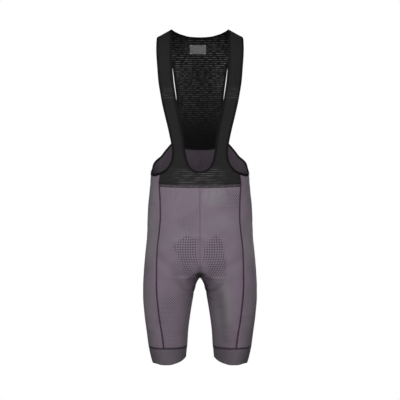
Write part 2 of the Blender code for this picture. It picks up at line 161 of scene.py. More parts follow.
def chestPoint(x, drop):
    # drop is below the strap crest: negative in front, positive behind
    x, drop = np.broadcast_arrays(np.asarray(x, float), np.asarray(drop, float))
    level = -np.abs(drop)
    _, reach, front, middle, back, squareness = formAt(level)
    bulge = np.maximum(1 - (np.abs(x) / reach) ** squareness, 0) ** (1 / squareness)
    y = np.where(drop < 0, middle - (front + middle) * bulge, middle + (back - middle) * bulge)
    fade = np.maximum(1 + level / bodyForm["slopeFade"], 0)
    fall = bodyForm["shoulderSlope"] * np.maximum(np.abs(x) - bodyForm["crestHalf"], 0) * fade
    return np.stack((x, y, level - fall), -1)


def outwardFrom(points):
    # from the middle of the section that a point lies on
    centre, _, _, middle, *_ = formAt(points[..., 2])
    side = np.where(points[..., 0] < 0, -1, 1)
    return points - np.stack((centre * side, middle, points[..., 2]), -1)


def slopes(points, axis, closed=False):
    if closed:
        return np.roll(points, -1, axis) - np.roll(points, 1, axis)
    return np.gradient(points, axis=axis)


def gridNormals(points, closed=False):
    normal = unit(np.cross(slopes(points, 1, closed), slopes(points, 0)))
    return normal if (normal * outwardFrom(points)).sum() > 0 else -normal


def stepsOf(points, axis=0):
    return np.linalg.norm(np.diff(points, axis=axis), axis=-1)


def travelOf(points, axis=0):
    # the length travelled along a path, or along one way of a grid
    return np.insert(np.cumsum(stepsOf(points, axis), axis=axis), 0, 0, axis=axis)


def evenShares(length):
    return np.linspace(0, 1, max(int(round(length / bodyForm["cell"])), 2) + 1)


def cutEvenly(travelled, step):
    # the places that cut a length into even steps
    count = max(int(round(travelled[-1] / step)), 2)
    return np.linspace(0, travelled[-1], count + 1)


def spreadEvenly(paths, parameters, step):
    # parameters at which the longest of several paths is cut into even steps
    travelled = np.insert(np.cumsum(np.max([stepsOf(path) for path in paths], axis=0)), 0, 0)
    return np.interp(cutEvenly(travelled, step), travelled, parameters)


def mirrored(points):
    return points * (-1, 1, 1)


def bothHalves(half):
    return np.concatenate((mirrored(half[:, :0:-1]), half), axis=1)


# The cut: where the panels meet.
bibCut = {
    # outer x and drop, inner x and drop
    "rows": [
        (121, 0, 85, 0), (122, 4, 84.8, 4), (122.5, 12, 84.4, 12), (122.7, 28, 84, 27),
        (122.5, 58, 83.8, 57), (120.5, 96, 83.4, 94), (116, 154, 79, 150), (110.8, 188, 74.5, 184),
        (104.5, 222, 69.3, 217), (96.4, 257, 62.5, 250), (88.1, 291, 56, 284), (80.8, 325, 49, 319),
        (76.5, 352, 46, 348), (77.5, 374, 42.3, 369), (84, 393.5, 38.5, 385), (97, 411, 34, 396.5),
        (112.8, 419.6, 29, 403.6), (114.4, 429, 25, 407.4), (115.6, 438.5, 20.5, 410.8),
        (116.5, 448, 15.5, 413.8), (93.2, 449.44, 11.5, 415.2), (69.9, 450.56, 8, 416),
        (46.6, 451.36, 5, 416.4), (23.3, 451.84, 2.4, 416.6), (0, 452, 0, 416.6),
    ],
    "armholeRow": 16,
    "waistRow": 19,
    "waistDrop": 448,
    "waistSag": 4,
    "columns": 40,
    "samples": 4000,
}
backCut = {
    # centre drop, edge drop, edge x
    "rows": [
        (19, 0, 121), (23, 4, 120.5), (29, 13, 118.5), (39, 30, 112.5), (55, 53, 101),
        (78, 77, 88.5), (105, 103, 78.5), (140, 137, 73.8), (172, 170, 69.5), (203, 201, 66.6),
        (233, 231, 68), (262, 259, 71), (290, 284, 74.4), (318, 307, 77.8), (344, 327, 80),
    ],
    "neckDrop": 19,
    "neckHalf": 85,
    "neckPower": 2.2,
    "lumbarHeight": -344,
    "cornerX": 80,
    "cornerHeight": -327,
    "ribStep": 1.5,     # the mesh back is finer down its ribs
    "samples": 3000,
}
shortsCut = {
    # angle, height
    "armhole": [
        (42, -419.6), (28, -423.5), (16, -420.5), (0, -416.5), (-11.5, -408.5),
        (-18.5, -393.5), (-27, -382.8), (-41, -368.5), (-51.4, -348.6), (-62.1, -327),
    ],
    # height, front x
    "sideSeam": [
        (-419.6, 112.8), (-448, 116.5), (-490, 113.8), (-545, 112.7), (-580, 115.5),
        (-646, 122.5), (-735, 124), (-800, 119.5), (-840, 114.5), (-875, 108.5), (-920, 103),
    ],
    # height, angle
    "backSeam": [
        (-368.5, -41), (-460, -41), (-600, -42), (-720, -45), (-820, -52), (-920, -60),
    ],
    "waist": -457.5,
    "bandHeight": 9.5, "bandRows": 7,
    "sagFade": 40,
    "gripper": -919.5,
    "hem": -964.5, "hemRise": 17, "hemPower": 6,
    "hemDroop": 2.6, "droopMiddle": 80, "droopSpread": 29,
    # heights at which the panels' widths are measured
    "widthLevels": (-480, -560, -640), "sideLevels": (-480, -620, -800),
    "widthSamples": 400, "legSamples": 2001,
}
shortsLevels = (shortsCut["waist"], shortsCut["gripper"])
sideSeamX, backSeamAngle, armholeHeight = (
    tableCurve(shortsCut[key]) for key in ("sideSeam", "backSeam", "armhole"))
cornerAngle = float(angleAt(backCut["cornerX"], backCut["cornerHeight"]))


def sideSeamAngle(height):
    return angleAt(sideSeamX(height), height)


def centreAngle(height):
    height = np.asarray(height, float)
    angle = np.where(height >= bodyForm["trunkEnd"], 90, angleAt(0, height))
    return np.where(height <= bodyForm["crotch"], 180, angle)


def backCentreAngle(height):
    return -centreAngle(height)


def lumbarHeight(angle):
    share = (90 - np.abs(angle)) / (90 - cornerAngle)
    return between(backCut["lumbarHeight"], backCut["cornerHeight"], share ** 2)


def waistDrop(x):
    reach = bibCut["rows"][bibCut["waistRow"]][0]
    return bibCut["waistDrop"] + bibCut["waistSag"] * (1 - (x / reach) ** 2)


def smoothPath(points, corners):
    # a curve through points, read by row number, with sharp turns only at the corners
    points = np.array(points, float)
    limits = [0, *corners, len(points) - 1]

    def read(place):
        found = np.zeros(place.shape + (points.shape[1],))
        for low, high in zip(limits[:-1], limits[1:]):
            inside = (place >= low) & (place <= high)
            i = np.clip(place[inside].astype(int), low, high - 1)
            t = (place[inside] - i)[:, None]
            p0, p1 = points[np.maximum(i - 1, low)], points[i]
            p2, p3 = points[i + 1], points[np.minimum(i + 2, high)]
            found[inside] = 0.5 * (2 * p1 + (p2 - p0) * t + (2 * p0 - 5 * p1 + 4 * p2 - p3) * t * t
                                   + (3 * p1 - p0 - 3 * p2 + p3) * t ** 3)
        return found
    return read


def bibGrid():
    rows = bibCut["rows"]
    outer = smoothPath([row[:2] for row in rows], [bibCut["armholeRow"], bibCut["waistRow"]])
    inner = smoothPath([row[2:] for row in rows], [])
    dense = np.linspace(0, len(rows) - 1, bibCut["samples"])
    edges = [chestPoint(*edge(dense).T * ((1,), (-1,))) for edge in (outer, inner)]
    places = spreadEvenly(edges, dense, bodyForm["cell"])
    share = np.linspace(0, 1, bibCut["columns"] + 1)[None, :, None]
    flat = outer(places)[:, None] * (1 - share) + inner(places)[:, None] * share
    half = chestPoint(flat[..., 0], -flat[..., 1])
    armholeRow = int(np.argmin(np.abs(places - bibCut["armholeRow"])))
    return np.concatenate((half, mirrored(half[-2::-1]))), armholeRow


def upperBackGrid():
    rows, neckHalf = backCut["rows"], backCut["neckHalf"]
    last, width = len(rows) - 1, rows[0][2]
    centreDrop, edgeDrop, edgeX = (smoothCurve(range(len(rows)), column(rows, i)) for i in range(3))
    neck = neckHalf / width
    inside = neck * evenShares(neckHalf)
    outside = neck + (1 - neck) * evenShares(width - neckHalf)
    shares, neckColumn = np.concatenate((inside, outside[1:])), len(inside) - 1
    angle = 90 - (90 - cornerAngle) * shares
    bottom = lumbarHeight(angle)
    bottomX, bottomDrop = sectionPoint(angle, bottom)[:, 0], -bottom
    scooped = np.minimum(shares * width / neckHalf, 1) ** backCut["neckPower"]
    scoop = backCut["neckDrop"] * (1 - scooped)

    def patch(place):
        place = place[:, None]
        down = place / last
        x = edgeX(place) * shares + down * (bottomX - bottomX[-1] * shares)
        drop = between(centreDrop(place), edgeDrop(place), shares)
        drop = drop + (1 - down) * (scoop - backCut["neckDrop"] * (1 - shares))
        lower = bottomDrop - between(bottomDrop[0], bottomDrop[-1], shares)
        return chestPoint(x, drop + down * lower)
    dense = np.linspace(0, last, backCut["samples"])
    sample = patch(dense)
    edges = [sample[:, i] for i in (0, neckColumn, -1)]
    return bothHalves(patch(spreadEvenly(edges, dense, backCut["ribStep"]))), neckColumn


def bandGrid():
    top = bibCut["rows"][bibCut["waistRow"]][0]
    narrowing = float(sideSeamX(shortsCut["waist"])) / top
    x = np.linspace(-top, top, int(2 * top / bodyForm["cell"]) + 1)[None, :]
    down = np.linspace(0, 1, shortsCut["bandRows"])[:, None]
    drop = waistDrop(x) + shortsCut["bandHeight"] * down
    return chestPoint(x * (1 + (narrowing - 1) * down), -drop)


def evenAngles(startAt, endAt, levels):
    # shares of the turn that cut a panel's width into even cells
    share = np.linspace(0, 1, shortsCut["widthSamples"])
    total = 0
    for level in levels:
        path = sectionPoint(between(startAt(level), endAt(level), share), level)
        total = total + travelOf(path) / len(levels)
    return np.interp(cutEvenly(total, bodyForm["cell"]), total, share)


def downwards(top):
    # heights from a panel's own top edge to the waist, then on to the leg band
    waist, bottom = shortsLevels
    upper = evenShares(float(np.max(top)) - waist)[:, None]
    lower = evenShares(waist - bottom)[1:, None]
    return np.concatenate((between(top, waist, upper), between(waist, bottom, lower) + 0 * top))


def clearOfCentre(points):
    points[..., 0] = np.maximum(points[..., 0], bodyForm["seamGap"] / 2)
    return points


crotchBridge = {
    # height, how far the pad holds the cloth forward on the centre line
    "rows": [(-600, 0), (-640, 3), (-670, 11), (-690, 23), (-700, 31), (-707, 35), (-713, 27),
             (-717.5, 0)],
    "reach": 28,
    # height, how far the cloth is held forward on either side of the fold between the legs
    "besideRows": [(-690, 0), (-703, 2.5), (-708, 5), (-712, 9.5), (-717.5, 22), (-722, 25),
                   (-728, 25.5), (-740, 21), (-760, 11), (-790, 0)],
    "besideReach": 48, "besideStart": 12,
}
bridgeAt, besideAt = tableCurve(crotchBridge["rows"]), tableCurve(crotchBridge["besideRows"])


def heldForward(points):
    x, _, z = np.moveaxis(points, -1, 0)
    centre, halfWidth = formAt(z)[:2]
    beside = softStep(np.abs(x) - (centre - halfWidth), 0, crotchBridge["besideStart"])
    beside = beside * bell(x, crotchBridge["besideReach"])
    shift = bridgeAt(z) * bell(x, crotchBridge["reach"]) + besideAt(z) * beside
    return points - shift[..., None] * (0, 1, 0)


def frontGrid():
    waist, bottom = shortsLevels
    share = evenAngles(sideSeamAngle, centreAngle, shortsCut["widthLevels"])[None, :]
    height = np.linspace(waist, bottom, int((waist - bottom) / bodyForm["cell"]) + 1)[:, None]
    angle = between(sideSeamAngle(height), centreAngle(height), share)
    sag = waistDrop(sectionPoint(angle[0], waist)[:, 0]) + shortsCut["bandHeight"]
    fade = np.clip(1 - (waist - height) / shortsCut["sagFade"], 0, 1)
    level = height + 0 * angle + fade * (-sag - waist)[None, :]
    return heldForward(clearOfCentre(sectionPoint(angle, level)))


def sideGrid():
    share = evenAngles(sideSeamAngle, backSeamAngle, shortsCut["sideLevels"])[None, :]
    start, end = shortsCut["armhole"][0][0], shortsCut["backSeam"][0][1]
    height = downwards(armholeHeight(between(start, end, share)))
    return sectionPoint(between(sideSeamAngle(height), backSeamAngle(height), share), height)


def shortsBackGrid():
    share = evenAngles(backSeamAngle, backCentreAngle, shortsCut["widthLevels"])
    first = -shortsCut["backSeam"][0][1]
    turn = (cornerAngle - first) / (90 - first)
    corner = int(np.argmin(np.abs(share - turn)))
    share[corner] = turn
    share = share[None, :]
    angle = between(first, 90, share)
    height = downwards(np.where(angle < cornerAngle, armholeHeight(-angle), lumbarHeight(angle)))
    points = sectionPoint(between(backSeamAngle(height), backCentreAngle(height), share), height)
    return clearOfCentre(points), corner


def hemHeight(angle):
    lift = ((1 - np.cos(np.radians(angle))) / 2) ** shortsCut["hemPower"]
    droop = bell(angle - shortsCut["droopMiddle"], shortsCut["droopSpread"], 4)
    return shortsCut["hem"] + shortsCut["hemRise"] * lift - shortsCut["hemDroop"] * droop


def halfTurns(turn):
    # the same turns counted from -180 to 180 degrees
    return np.where(turn <= 180, turn, turn - 360)


def gripperGrid():
    turn = np.linspace(0, 360, shortsCut["legSamples"])
    path = travelOf(sectionPoint(halfTurns(turn), shortsLevels[1]))
    angle = halfTurns(np.interp(cutEvenly(path, bodyForm["cell"])[:-1], path, turn)[None, :])
    down = evenShares(shortsLevels[1] - shortsCut["hem"])[:, None]
    return sectionPoint(angle, between(shortsLevels[1], hemHeight(angle), down))


# Relief: creases, and the pad that shows through the cloth.
# each crease is shaped into the cloth, and is also painted darker in its trough and lighter on its
# shoulders
creases = {
    # side (1 left, -1 right), start angle and height, end angle and height, bow, depth, width
    "rows": [
        # in front of the crotch
        (1, 176, -735, 128, -716, 5, 1.5, 4.2), (1, 170, -752, 118, -744, -4, 1.1, 4.6),
        (1, 160, -712, 112, -690, 6, 0.9, 5.5), (1, 166, -778, 124, -786, 3, 0.7, 5.4),
        (-1, 177, -731, 130, -722, -4, 1.4, 4.4), (-1, 172, -746, 121, -752, 4, 1.2, 4.2),
        (-1, 158, -706, 110, -680, 5, 0.8, 6.2), (-1, 168, -770, 130, -762, -3, 0.8, 4.8),
        # from the hip towards the crotch
        (1, 40, -642, 96, -684, -9, 0.7, 10), (-1, 36, -630, 92, -690, -8, 0.8, 11),
        (1, 52, -600, 86, -632, -5, 0.4, 9), (-1, 50, -612, 84, -640, 6, 0.4, 8),
        # under the waist tape
        (1, 62, -463, 60, -492, 2, 0.6, 4), (1, 74, -462, 76, -484, -2, 0.5, 4.4),
        (1, 82, -464, 84, -504, 2, 0.6, 5), (-1, 58, -463, 60, -486, 2, 0.5, 4.2),
        (-1, 68, -462, 65, -500, -3, 0.6, 4.8), (-1, 84, -463, 82, -480, 1, 0.5, 3.6),
        # front of the thighs
        (1, 30, -832, 78, -842, 5, 0.5, 8), (1, 92, -858, 128, -850, -4, 0.5, 7),
        (-1, 48, -845, 96, -834, -5, 0.5, 9), (-1, 20, -872, 58, -880, 4, 0.4, 7),
        (-1, 104, -884, 140, -874, 4, 0.5, 6), (1, 100, -800, 150, -808, 4, 0.5, 7),
        # the broad hollow along the inside of the left thigh
        (1, 118, -726, 116, -912, 0, 1.8, 15),
        # under the seat
        (1, -172, -742, -96, -762, 12, 2.0, 6.5), (1, -160, -768, -104, -784, 8, 1.3, 6),
        (1, -150, -724, -70, -738, 10, 1.1, 8), (-1, -174, -746, -92, -758, 11, 1.9, 6.2),
        (-1, -158, -774, -110, -778, 6, 1.4, 5.4), (-1, -146, -728, -76, -744, 9, 1.0, 8.5),
        # the back of the knees
        (1, -70, -868, -140, -878, 4, 0.9, 6), (1, -60, -892, -118, -888, -4, 0.7, 5),
        (-1, -64, -876, -136, -866, -5, 0.9, 6.4), (-1, -84, -898, -146, -894, 3, 0.7, 4.8),
        # the small of the back and the sides of the waist
        (1, -88, -438, -52, -446, 4, 0.8, 6), (1, -84, -470, -40, -462, -5, 0.7, 7),
        (-1, -86, -452, -48, -440, 5, 0.8, 6.5), (-1, -88, -486, -50, -480, -4, 0.6, 6),
        (1, -24, -440, 8, -450, 3, 0.6, 6), (-1, -20, -452, 12, -444, -3, 0.6, 6),
        (1, -14, -560, 20, -574, 4, 0.4, 9), (-1, -10, -580, 24, -566, -4, 0.4, 9),
        # across the straps, where they pull over the chest
        (1, 49, -171, 59, -174, 1, 0.35, 1.7), (1, 50, -180, 63, -179, -1, 0.4, 1.6),
        (1, 51, -187, 60, -189, 1, 0.35, 1.8), (-1, 50, -172, 61, -170, -1, 0.35, 1.7),
        (-1, 49, -182, 58, -184, 1, 0.4, 1.6), (-1, 52, -191, 63, -190, 1, 0.4, 1.8),
        (-1, 51, -199, 59, -201, -1, 0.3, 1.8), (1, 52, -197, 62, -196, 1, 0.3, 1.7),
        # the mesh back
        (1, -52, -70, -80, -130, 6, 0.9, 9), (1, -66, -52, -84, -88, -4, 0.7, 7),
        (-1, -50, -76, -76, -142, -6, 0.9, 9), (-1, -68, -150, -74, -240, 5, 0.6, 9),
        (1, -72, -180, -70, -270, -4, 0.6, 9), (-1, -84, -300, -62, -318, 3, 0.7, 6),
    ],
    "samples": 20,
    "reach": 3.5,         # how many widths away a crease is still worked out
    "shoulder": 0.4,      # how far the cloth rises beside a trough, as a share of its depth
    "broad": 12,          # a hollow at least this wide has no risen border
    "ends": (0.02, 0.98), "taper": 0.8,
}


def nearestOn(line, points):
    # how far points are from a line of straight pieces, and how far along it they are nearest
    best, place = np.full(points.shape[:-1], np.inf), np.zeros(points.shape[:-1])
    for i in range(len(line) - 1):
        step = line[i + 1] - line[i]
        along = np.clip((points - line[i]) @ step / (step @ step), 0, 1)
        gap = np.linalg.norm(points - line[i] - along[..., None] * step, axis=-1)
        closer = gap < best
        best[closer], place[closer] = gap[closer], ((i + along) / (len(line) - 1))[closer]
    return best, place


def crease(points, row):
    side, startAngle, startHeight, endAngle, endHeight, bow, depth, width = row
    t = np.linspace(0, 1, creases["samples"])
    height = between(startHeight, endHeight, t) + bow * np.sin(math.pi * t)
    line = sectionPoint(between(startAngle, endAngle, t), height) * (side, 1, 1)
    reach = creases["reach"] * width
    near = np.all((points > line.min(0) - reach) & (points < line.max(0) + reach), axis=-1)
    near &= np.sign(points[..., 0]) == side
    found = np.zeros(points.shape[:-1])
    best, place = nearestOn(line, points[near])
    taper = np.sin(math.pi * np.clip(place, *creases["ends"])) ** creases["taper"]
    across = best / width
    shoulder = creases["shoulder"] if width < creases["broad"] else 0
    found[near] = depth * taper * (shoulder * bell(across - 2, 1) - bell(across, 1))
    return found


def insideLoop(points, outline):
    # how far inside a closed outline a point lies, seen from the front: below zero is outside it
    flat, loop = points[..., (0, 2)], np.array(outline + outline[:1], float)
    distance, _ = nearestOn(loop, flat)
    x, z = flat[..., 0], flat[..., 1]
    inside = np.zeros(x.shape, bool)
    for (ax, az), (bx, bz) in zip(loop[:-1], loop[1:]):
        if az != bz:
            inside ^= ((az > z) != (bz > z)) & (x < ax + (z - az) * (bx - ax) / (bz - az))
    return np.where(inside, distance, -distance)


padOutline = {
    # half of the pad's edge, seen from the front and from behind: x, height
    "front": [(0, -588), (16, -590), (40, -606), (62, -636), (75, -672), (77, -704), (68, -730),
              (46, -752), (0, -764)],
    "back": [(0, -594), (26, -598), (60, -610), (84, -638), (90, -672), (86, -704), (74, -730),
             (48, -752), (0, -764)],
    "rise": 2.0,
    "ramp": (-2, 9),
    "stitchDip": 0.5,
    "stitchWidth": 2.2,
}
padNet = {
    # where the net of the cloth is pressed open over the pad, seen from the front: x, height
    "outline": [(-14, -600), (-40, -594), (-62, -610), (-80, -626), (-66, -650), (-54, -672),
                (-46, -708), (-38, -742), (0, -764), (40, -762), (62, -742), (70, -706),
                (76, -672), (68, -640), (62, -606), (44, -592), (26, -606)],
    "back": 0.9,
    "ramp": (-4, 7),
    "base": 0.95,
    # x, height, reach across and up, amount
    "faint": [(-1, -640, 9, 60, 0.75), (1, -640, 9, 60, 0.75), (14, -682, 14, 22, 0.6),
              (-22, -684, 16, 14, 0.5), (52, -742, 34, 22, 0.75), (-40, -744, 24, 22, 0.7),
              (8, -612, 22, 22, 0.5)],
    "strong": [(-36, -618, 26, 22, 0.5), (46, -622, 22, 26, 0.5), (68, -662, 12, 26, 0.4)],
}


def inFront(points):
    return points[..., 1] < formAt(points[..., 2])[3]


def padDepth(points):
    front, back = (insideLoop(points, half + [(-x, z) for x, z in half[-2:0:-1]])
                   for half in (padOutline["front"], padOutline["back"]))
    return np.where(inFront(points), front, back)


patchFade = (0.4, 1.15)     # a patch fades out between these shares of its reach


def patchAmount(points, rows):
    # soft patches on the cloth, the strongest where they meet
    x, _, height = np.moveaxis(points, -1, 0)
    amount = np.zeros(x.shape)
    for atX, atHeight, reachX, reachHeight, strength in rows:
        far = np.hypot((x - atX) / reachX, (height - atHeight) / reachHeight)
        amount = np.maximum(amount, strength * (1 - softStep(far, *patchFade)))
    return amount


def padZoneAt(points, pressed):
    # the net's share of the pad's own, stronger and fainter in patches
    shape = softStep(insideLoop(points, padNet["outline"]), *padNet["ramp"])
    shape = shape * (padNet["base"] + patchAmount(points, padNet["strong"]))
    shape = shape * (1 - patchAmount(points, padNet["faint"]))
    return np.where(inFront(points), shape, pressed * padNet["back"])


cleft = {
    # height, reach from the inside of the leg, share of the painted shade
    "rows": [(-697, 8, 0), (-702, 19, 0.9), (-708, 27, 1), (-715, 33, 1), (-720, 24, 1),
             (-728, 16, 0.9), (-742, 10, 0.6), (-785, 6, 0)],
    "shade": 6.3, "steepness": 6,
}
cleftReach, cleftShare = tableCurve(cleft["rows"]), tableCurve(cleft["rows"], 2)
legShades = {
    # right and left leg: painted shade, its width from the inside or the outside of the leg,
    # steepness
    "inner": [(1.6, 16, 2), (1.9, 50, 4)],
    "outer": [(1.8, 10, 2), (3.2, 16, 2)],
    "innerTop": (716, 750), "outerTop": (690, 900),      # depths over which they start
}


def cleftShade(points, distance):
    # painted shade deep in the crotch, where the legs part
    height = points[..., 2]
    share = cleftShare(height) * bell(distance, cleftReach(height), cleft["steepness"])
    return -cleft["shade"] * share


def legShade(points):
    # painted shade along the insides and outsides of the thighs, where the cloth turns away from
    # the light
    x, _, height = np.moveaxis(points, -1, 0)
    centre, halfWidth = formAt(height)[:2]
    found = np.zeros(x.shape)
    for side, way in (("inner", 1), ("outer", -1)):
        away = halfWidth + way * (np.abs(x) - centre)
        depth, width, power = (np.where(x < 0, *pair) for pair in zip(*legShades[side]))
        found -= depth * bell(away, width, power) * softStep(-height, *legShades[side + "Top"])
    return found


def reliefAt(points):
    # how far the cloth stands out of the form, and the shares of the creases and the pad in it
    folds = sum(crease(points, row) for row in creases["rows"])
    depth = padDepth(points)
    pad = softStep(depth, *padOutline["ramp"])
    dip = padOutline["stitchDip"] * bell(depth + 1, padOutline["stitchWidth"])
    return folds + padOutline["rise"] * pad - dip, folds, pad


ribs = {
    # heights in millimetres between which the ribs fade in or out
    "pitch": 6.0, "depth": 0.3,
    "waist": (400, 411), "waistReach": (42, 84), "waistSides": 0.18,
    # the last pair of heights on the next line: where the painted shade on the strap tops fades out
    "strap": (171, 180), "strapEnd": (203, 214), "strapShare": 0.5, "strapTopShade": (100, 330),
    # the middle pair of heights on the next line: where the mesh back turns denser and darker,
    # partly knit and partly painted shade
    "mesh": (130, 315), "meshDenseAndShade": (180, 345), "meshShare": 0.8,
    # patches of the mesh back that are stretched open or closed: x, height, reach, amount
    "open": [(52, -95, 34, 90, 0.6), (-48, -84, 34, 50, 0.4)],
    "close": [(-58, -50, 40, 40, 0.15), (0, -38, 60, 16, 0.2)],
}
knitPatches = {
    # where the net shows clearly: x, height, reach across and up, amount
    "clear": [
        (-90, -830, 36, 105, 1.0), (-62, -690, 28, 50, 0.7), (82, -498, 50, 38, 0.9),
        (92, -885, 34, 34, 0.9), (-34, -560, 36, 34, 0.6), (62, -650, 24, 60, 0.35),
        (-150, -500, 20, 60, 0.5), (120, -760, 26, 60, 0.4), (108, -860, 40, 50, 0.5),
        (-84, -905, 26, 24, 0.6), (-74, -640, 26, 26, 0.5), (-8, -535, 16, 22, 0.5),
    ],
    # where the cloth is painted greyer and lighter: partly a greyer dye, partly painted light on
    # the hips and flanks
    "greyDyeAndLight": [
        (-150, -590, 30, 110, 1.0), (-158, -800, 32, 100, 0.5), (158, -820, 30, 100, 0.5),
        (150, -610, 28, 80, 1.0), (44, -486, 40, 34, 0.8), (62, -800, 34, 110, 0.9),
        (-60, -600, 30, 40, 0.4), (60, -560, 40, 26, 0.4), (-140, -470, 24, 40, 0.7),
    ],
    # on the inside of the back it shows more: heights, distances from the middle, amount
    "inside": (-455, -440), "insideSides": (60, 115), "insideAmount": 1.3,
}


def bibZones(points):
    # knitted ribs across the waist and fainter ones on the straps, and painted shade darkening the
    # tops of the straps
    x, depth = np.abs(points[..., 0]), -points[..., 2]
    reach = 1 - (1 - ribs["waistSides"]) * softStep(x, *ribs["waistReach"])
    strap = softStep(depth, *ribs["strap"]) * (1 - softStep(depth, *ribs["strapEnd"]))
    waist = softStep(depth, *ribs["waist"]) * reach
    return waist + ribs["strapShare"] * strap, 1 - softStep(depth, *ribs["strapTopShade"])


def meshZones(points):
    # open ribs over the shoulder blades, and plain dense knit towards the waist, darker there:
    # partly the denser knit, partly painted shade
    depth = -points[..., 2]
    shown = ribs["meshShare"] + patchAmount(points, ribs["open"])
    shown = shown - patchAmount(points, ribs["close"])
    return (1 - softStep(depth, *ribs["mesh"])) * shown, softStep(depth, *ribs["meshDenseAndShade"])


def insideClearness(points):
    middle = 1 - softStep(np.abs(points[..., 0]), *knitPatches["insideSides"])
    return knitPatches["insideAmount"] * middle * softStep(points[..., 2], *knitPatches["inside"])


def addMesh(name, node, points, faces, materials, uvMaps, attributes=None, numbers=None):
    # one piece, which rides with the garment and may stand for a node of the frame
    mesh = bpy.data.meshes.new(name)
    mesh.from_pydata((points * mm).tolist(), [], [list(face) for face in faces])
    for key, values in (attributes or {}).items():
        layer = mesh.attributes.new(key, "FLOAT", "POINT")
        layer.data.foreach_set("value", np.asarray(values, np.float32))
    corners = np.zeros(len(mesh.loops), np.int32)
    mesh.loops.foreach_get("vertex_index", corners)
    for key, uv in uvMaps.items():
        mesh.uv_layers.new(name=key).data.foreach_set("uv", uv[corners].astype(np.float32).ravel())
    for material in materials:
        mesh.materials.append(material)
    if numbers is not None:
        mesh.polygons.foreach_set("material_index", np.asarray(numbers, np.int32))
    solid = bmesh.new()
    solid.from_mesh(mesh)
    bmesh.ops.recalc_face_normals(solid, faces=solid.faces)
    solid.to_mesh(mesh)
    solid.free()
    mesh.shade_smooth()
    piece = bpy.data.objects.new(name, mesh)
    bpy.context.collection.objects.link(piece)
    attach(piece, "root")
    if node:
        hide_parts(node)
    return piece


def gridFaces(rows, cols, closed=False):
    r, c = np.meshgrid(np.arange(rows - 1), np.arange(cols if closed else cols - 1), indexing="ij")
    after = (c + 1) % cols
    corners = (r * cols + c, (r + 1) * cols + c, (r + 1) * cols + after, r * cols + after)
    return np.stack(corners, -1).reshape(-1, 4)


def rimLoops(rows, cols, closed=False):
    # the border's vertices in order, each with its neighbour inside the grid
    index = np.arange(rows * cols).reshape(rows, cols)
    if closed:
        return [(index[0], index[1]), (index[-1], index[-2])]
    inner = index[np.clip(np.arange(rows), 1, rows - 2)][:, np.clip(np.arange(cols), 1, cols - 2)]
    return [tuple(np.concatenate((grid[0], grid[1:, -1], grid[-1, -2::-1], grid[-2:0:-1, 0]))
                  for grid in (index, inner))]


def doubleWall(near, far, bulge, closed=False):
    # two faces and their rounded rim: points, faces, and the grid point beside each rim point
    rows, cols = near.shape[:2]
    near, far = near.reshape(-1, 3), far.reshape(-1, 3)
    count = len(near)
    sheet = gridFaces(rows, cols, closed)
    points, faces, borders = [near, far], [sheet, sheet + count], []
    base = 2 * count
    for border, inside in rimLoops(rows, cols, closed):
        points.append((near[border] + far[border]) / 2 + unit(near[border] - near[inside]) * bulge)
        here = np.arange(len(border))
        there = np.roll(here, -1)
        for side in (0, count):
            ends = (side + border, side + border[there], base + there, base + here)
            faces.append(np.stack(ends, -1))
        base += len(border)
        borders.append(border)
    return np.concatenate(points), np.concatenate(faces), np.concatenate(borders)


def clothMap(points, closed=False):
    # the cloth's own coordinates, in metres: across from its middle, and down from its top
    across, middle = travelOf(points, 1), points.shape[1] // 2
    down = np.broadcast_to(travelOf(points)[:, middle:middle + 1], across.shape)
    if not closed:
        across = across - across[:, middle:middle + 1]
    return (np.stack((across, down), -1) * mm).reshape(-1, 2)


# per point: painted shade and light from creases, thighs and crotch; the pad's net; painted shade
# on the rims; the darker reverse face, partly its own tone and partly painted shade; ribs; darker
# zones, partly denser knit and partly painted shade; clearer net; greyer, lighter patches, partly
# dye and partly painted light
zoneNames = ("paintedFoldShade", "padZone", "paintedRimShade", "inside", "ribZone", "dense", "clear", "greyDyeAndLight")
seamPull = {"dip": 0.55, "width": 3.2}      # the cloth draws in where it is sewn
rimBulge = 0.3                              # as a share of the cloth's thickness


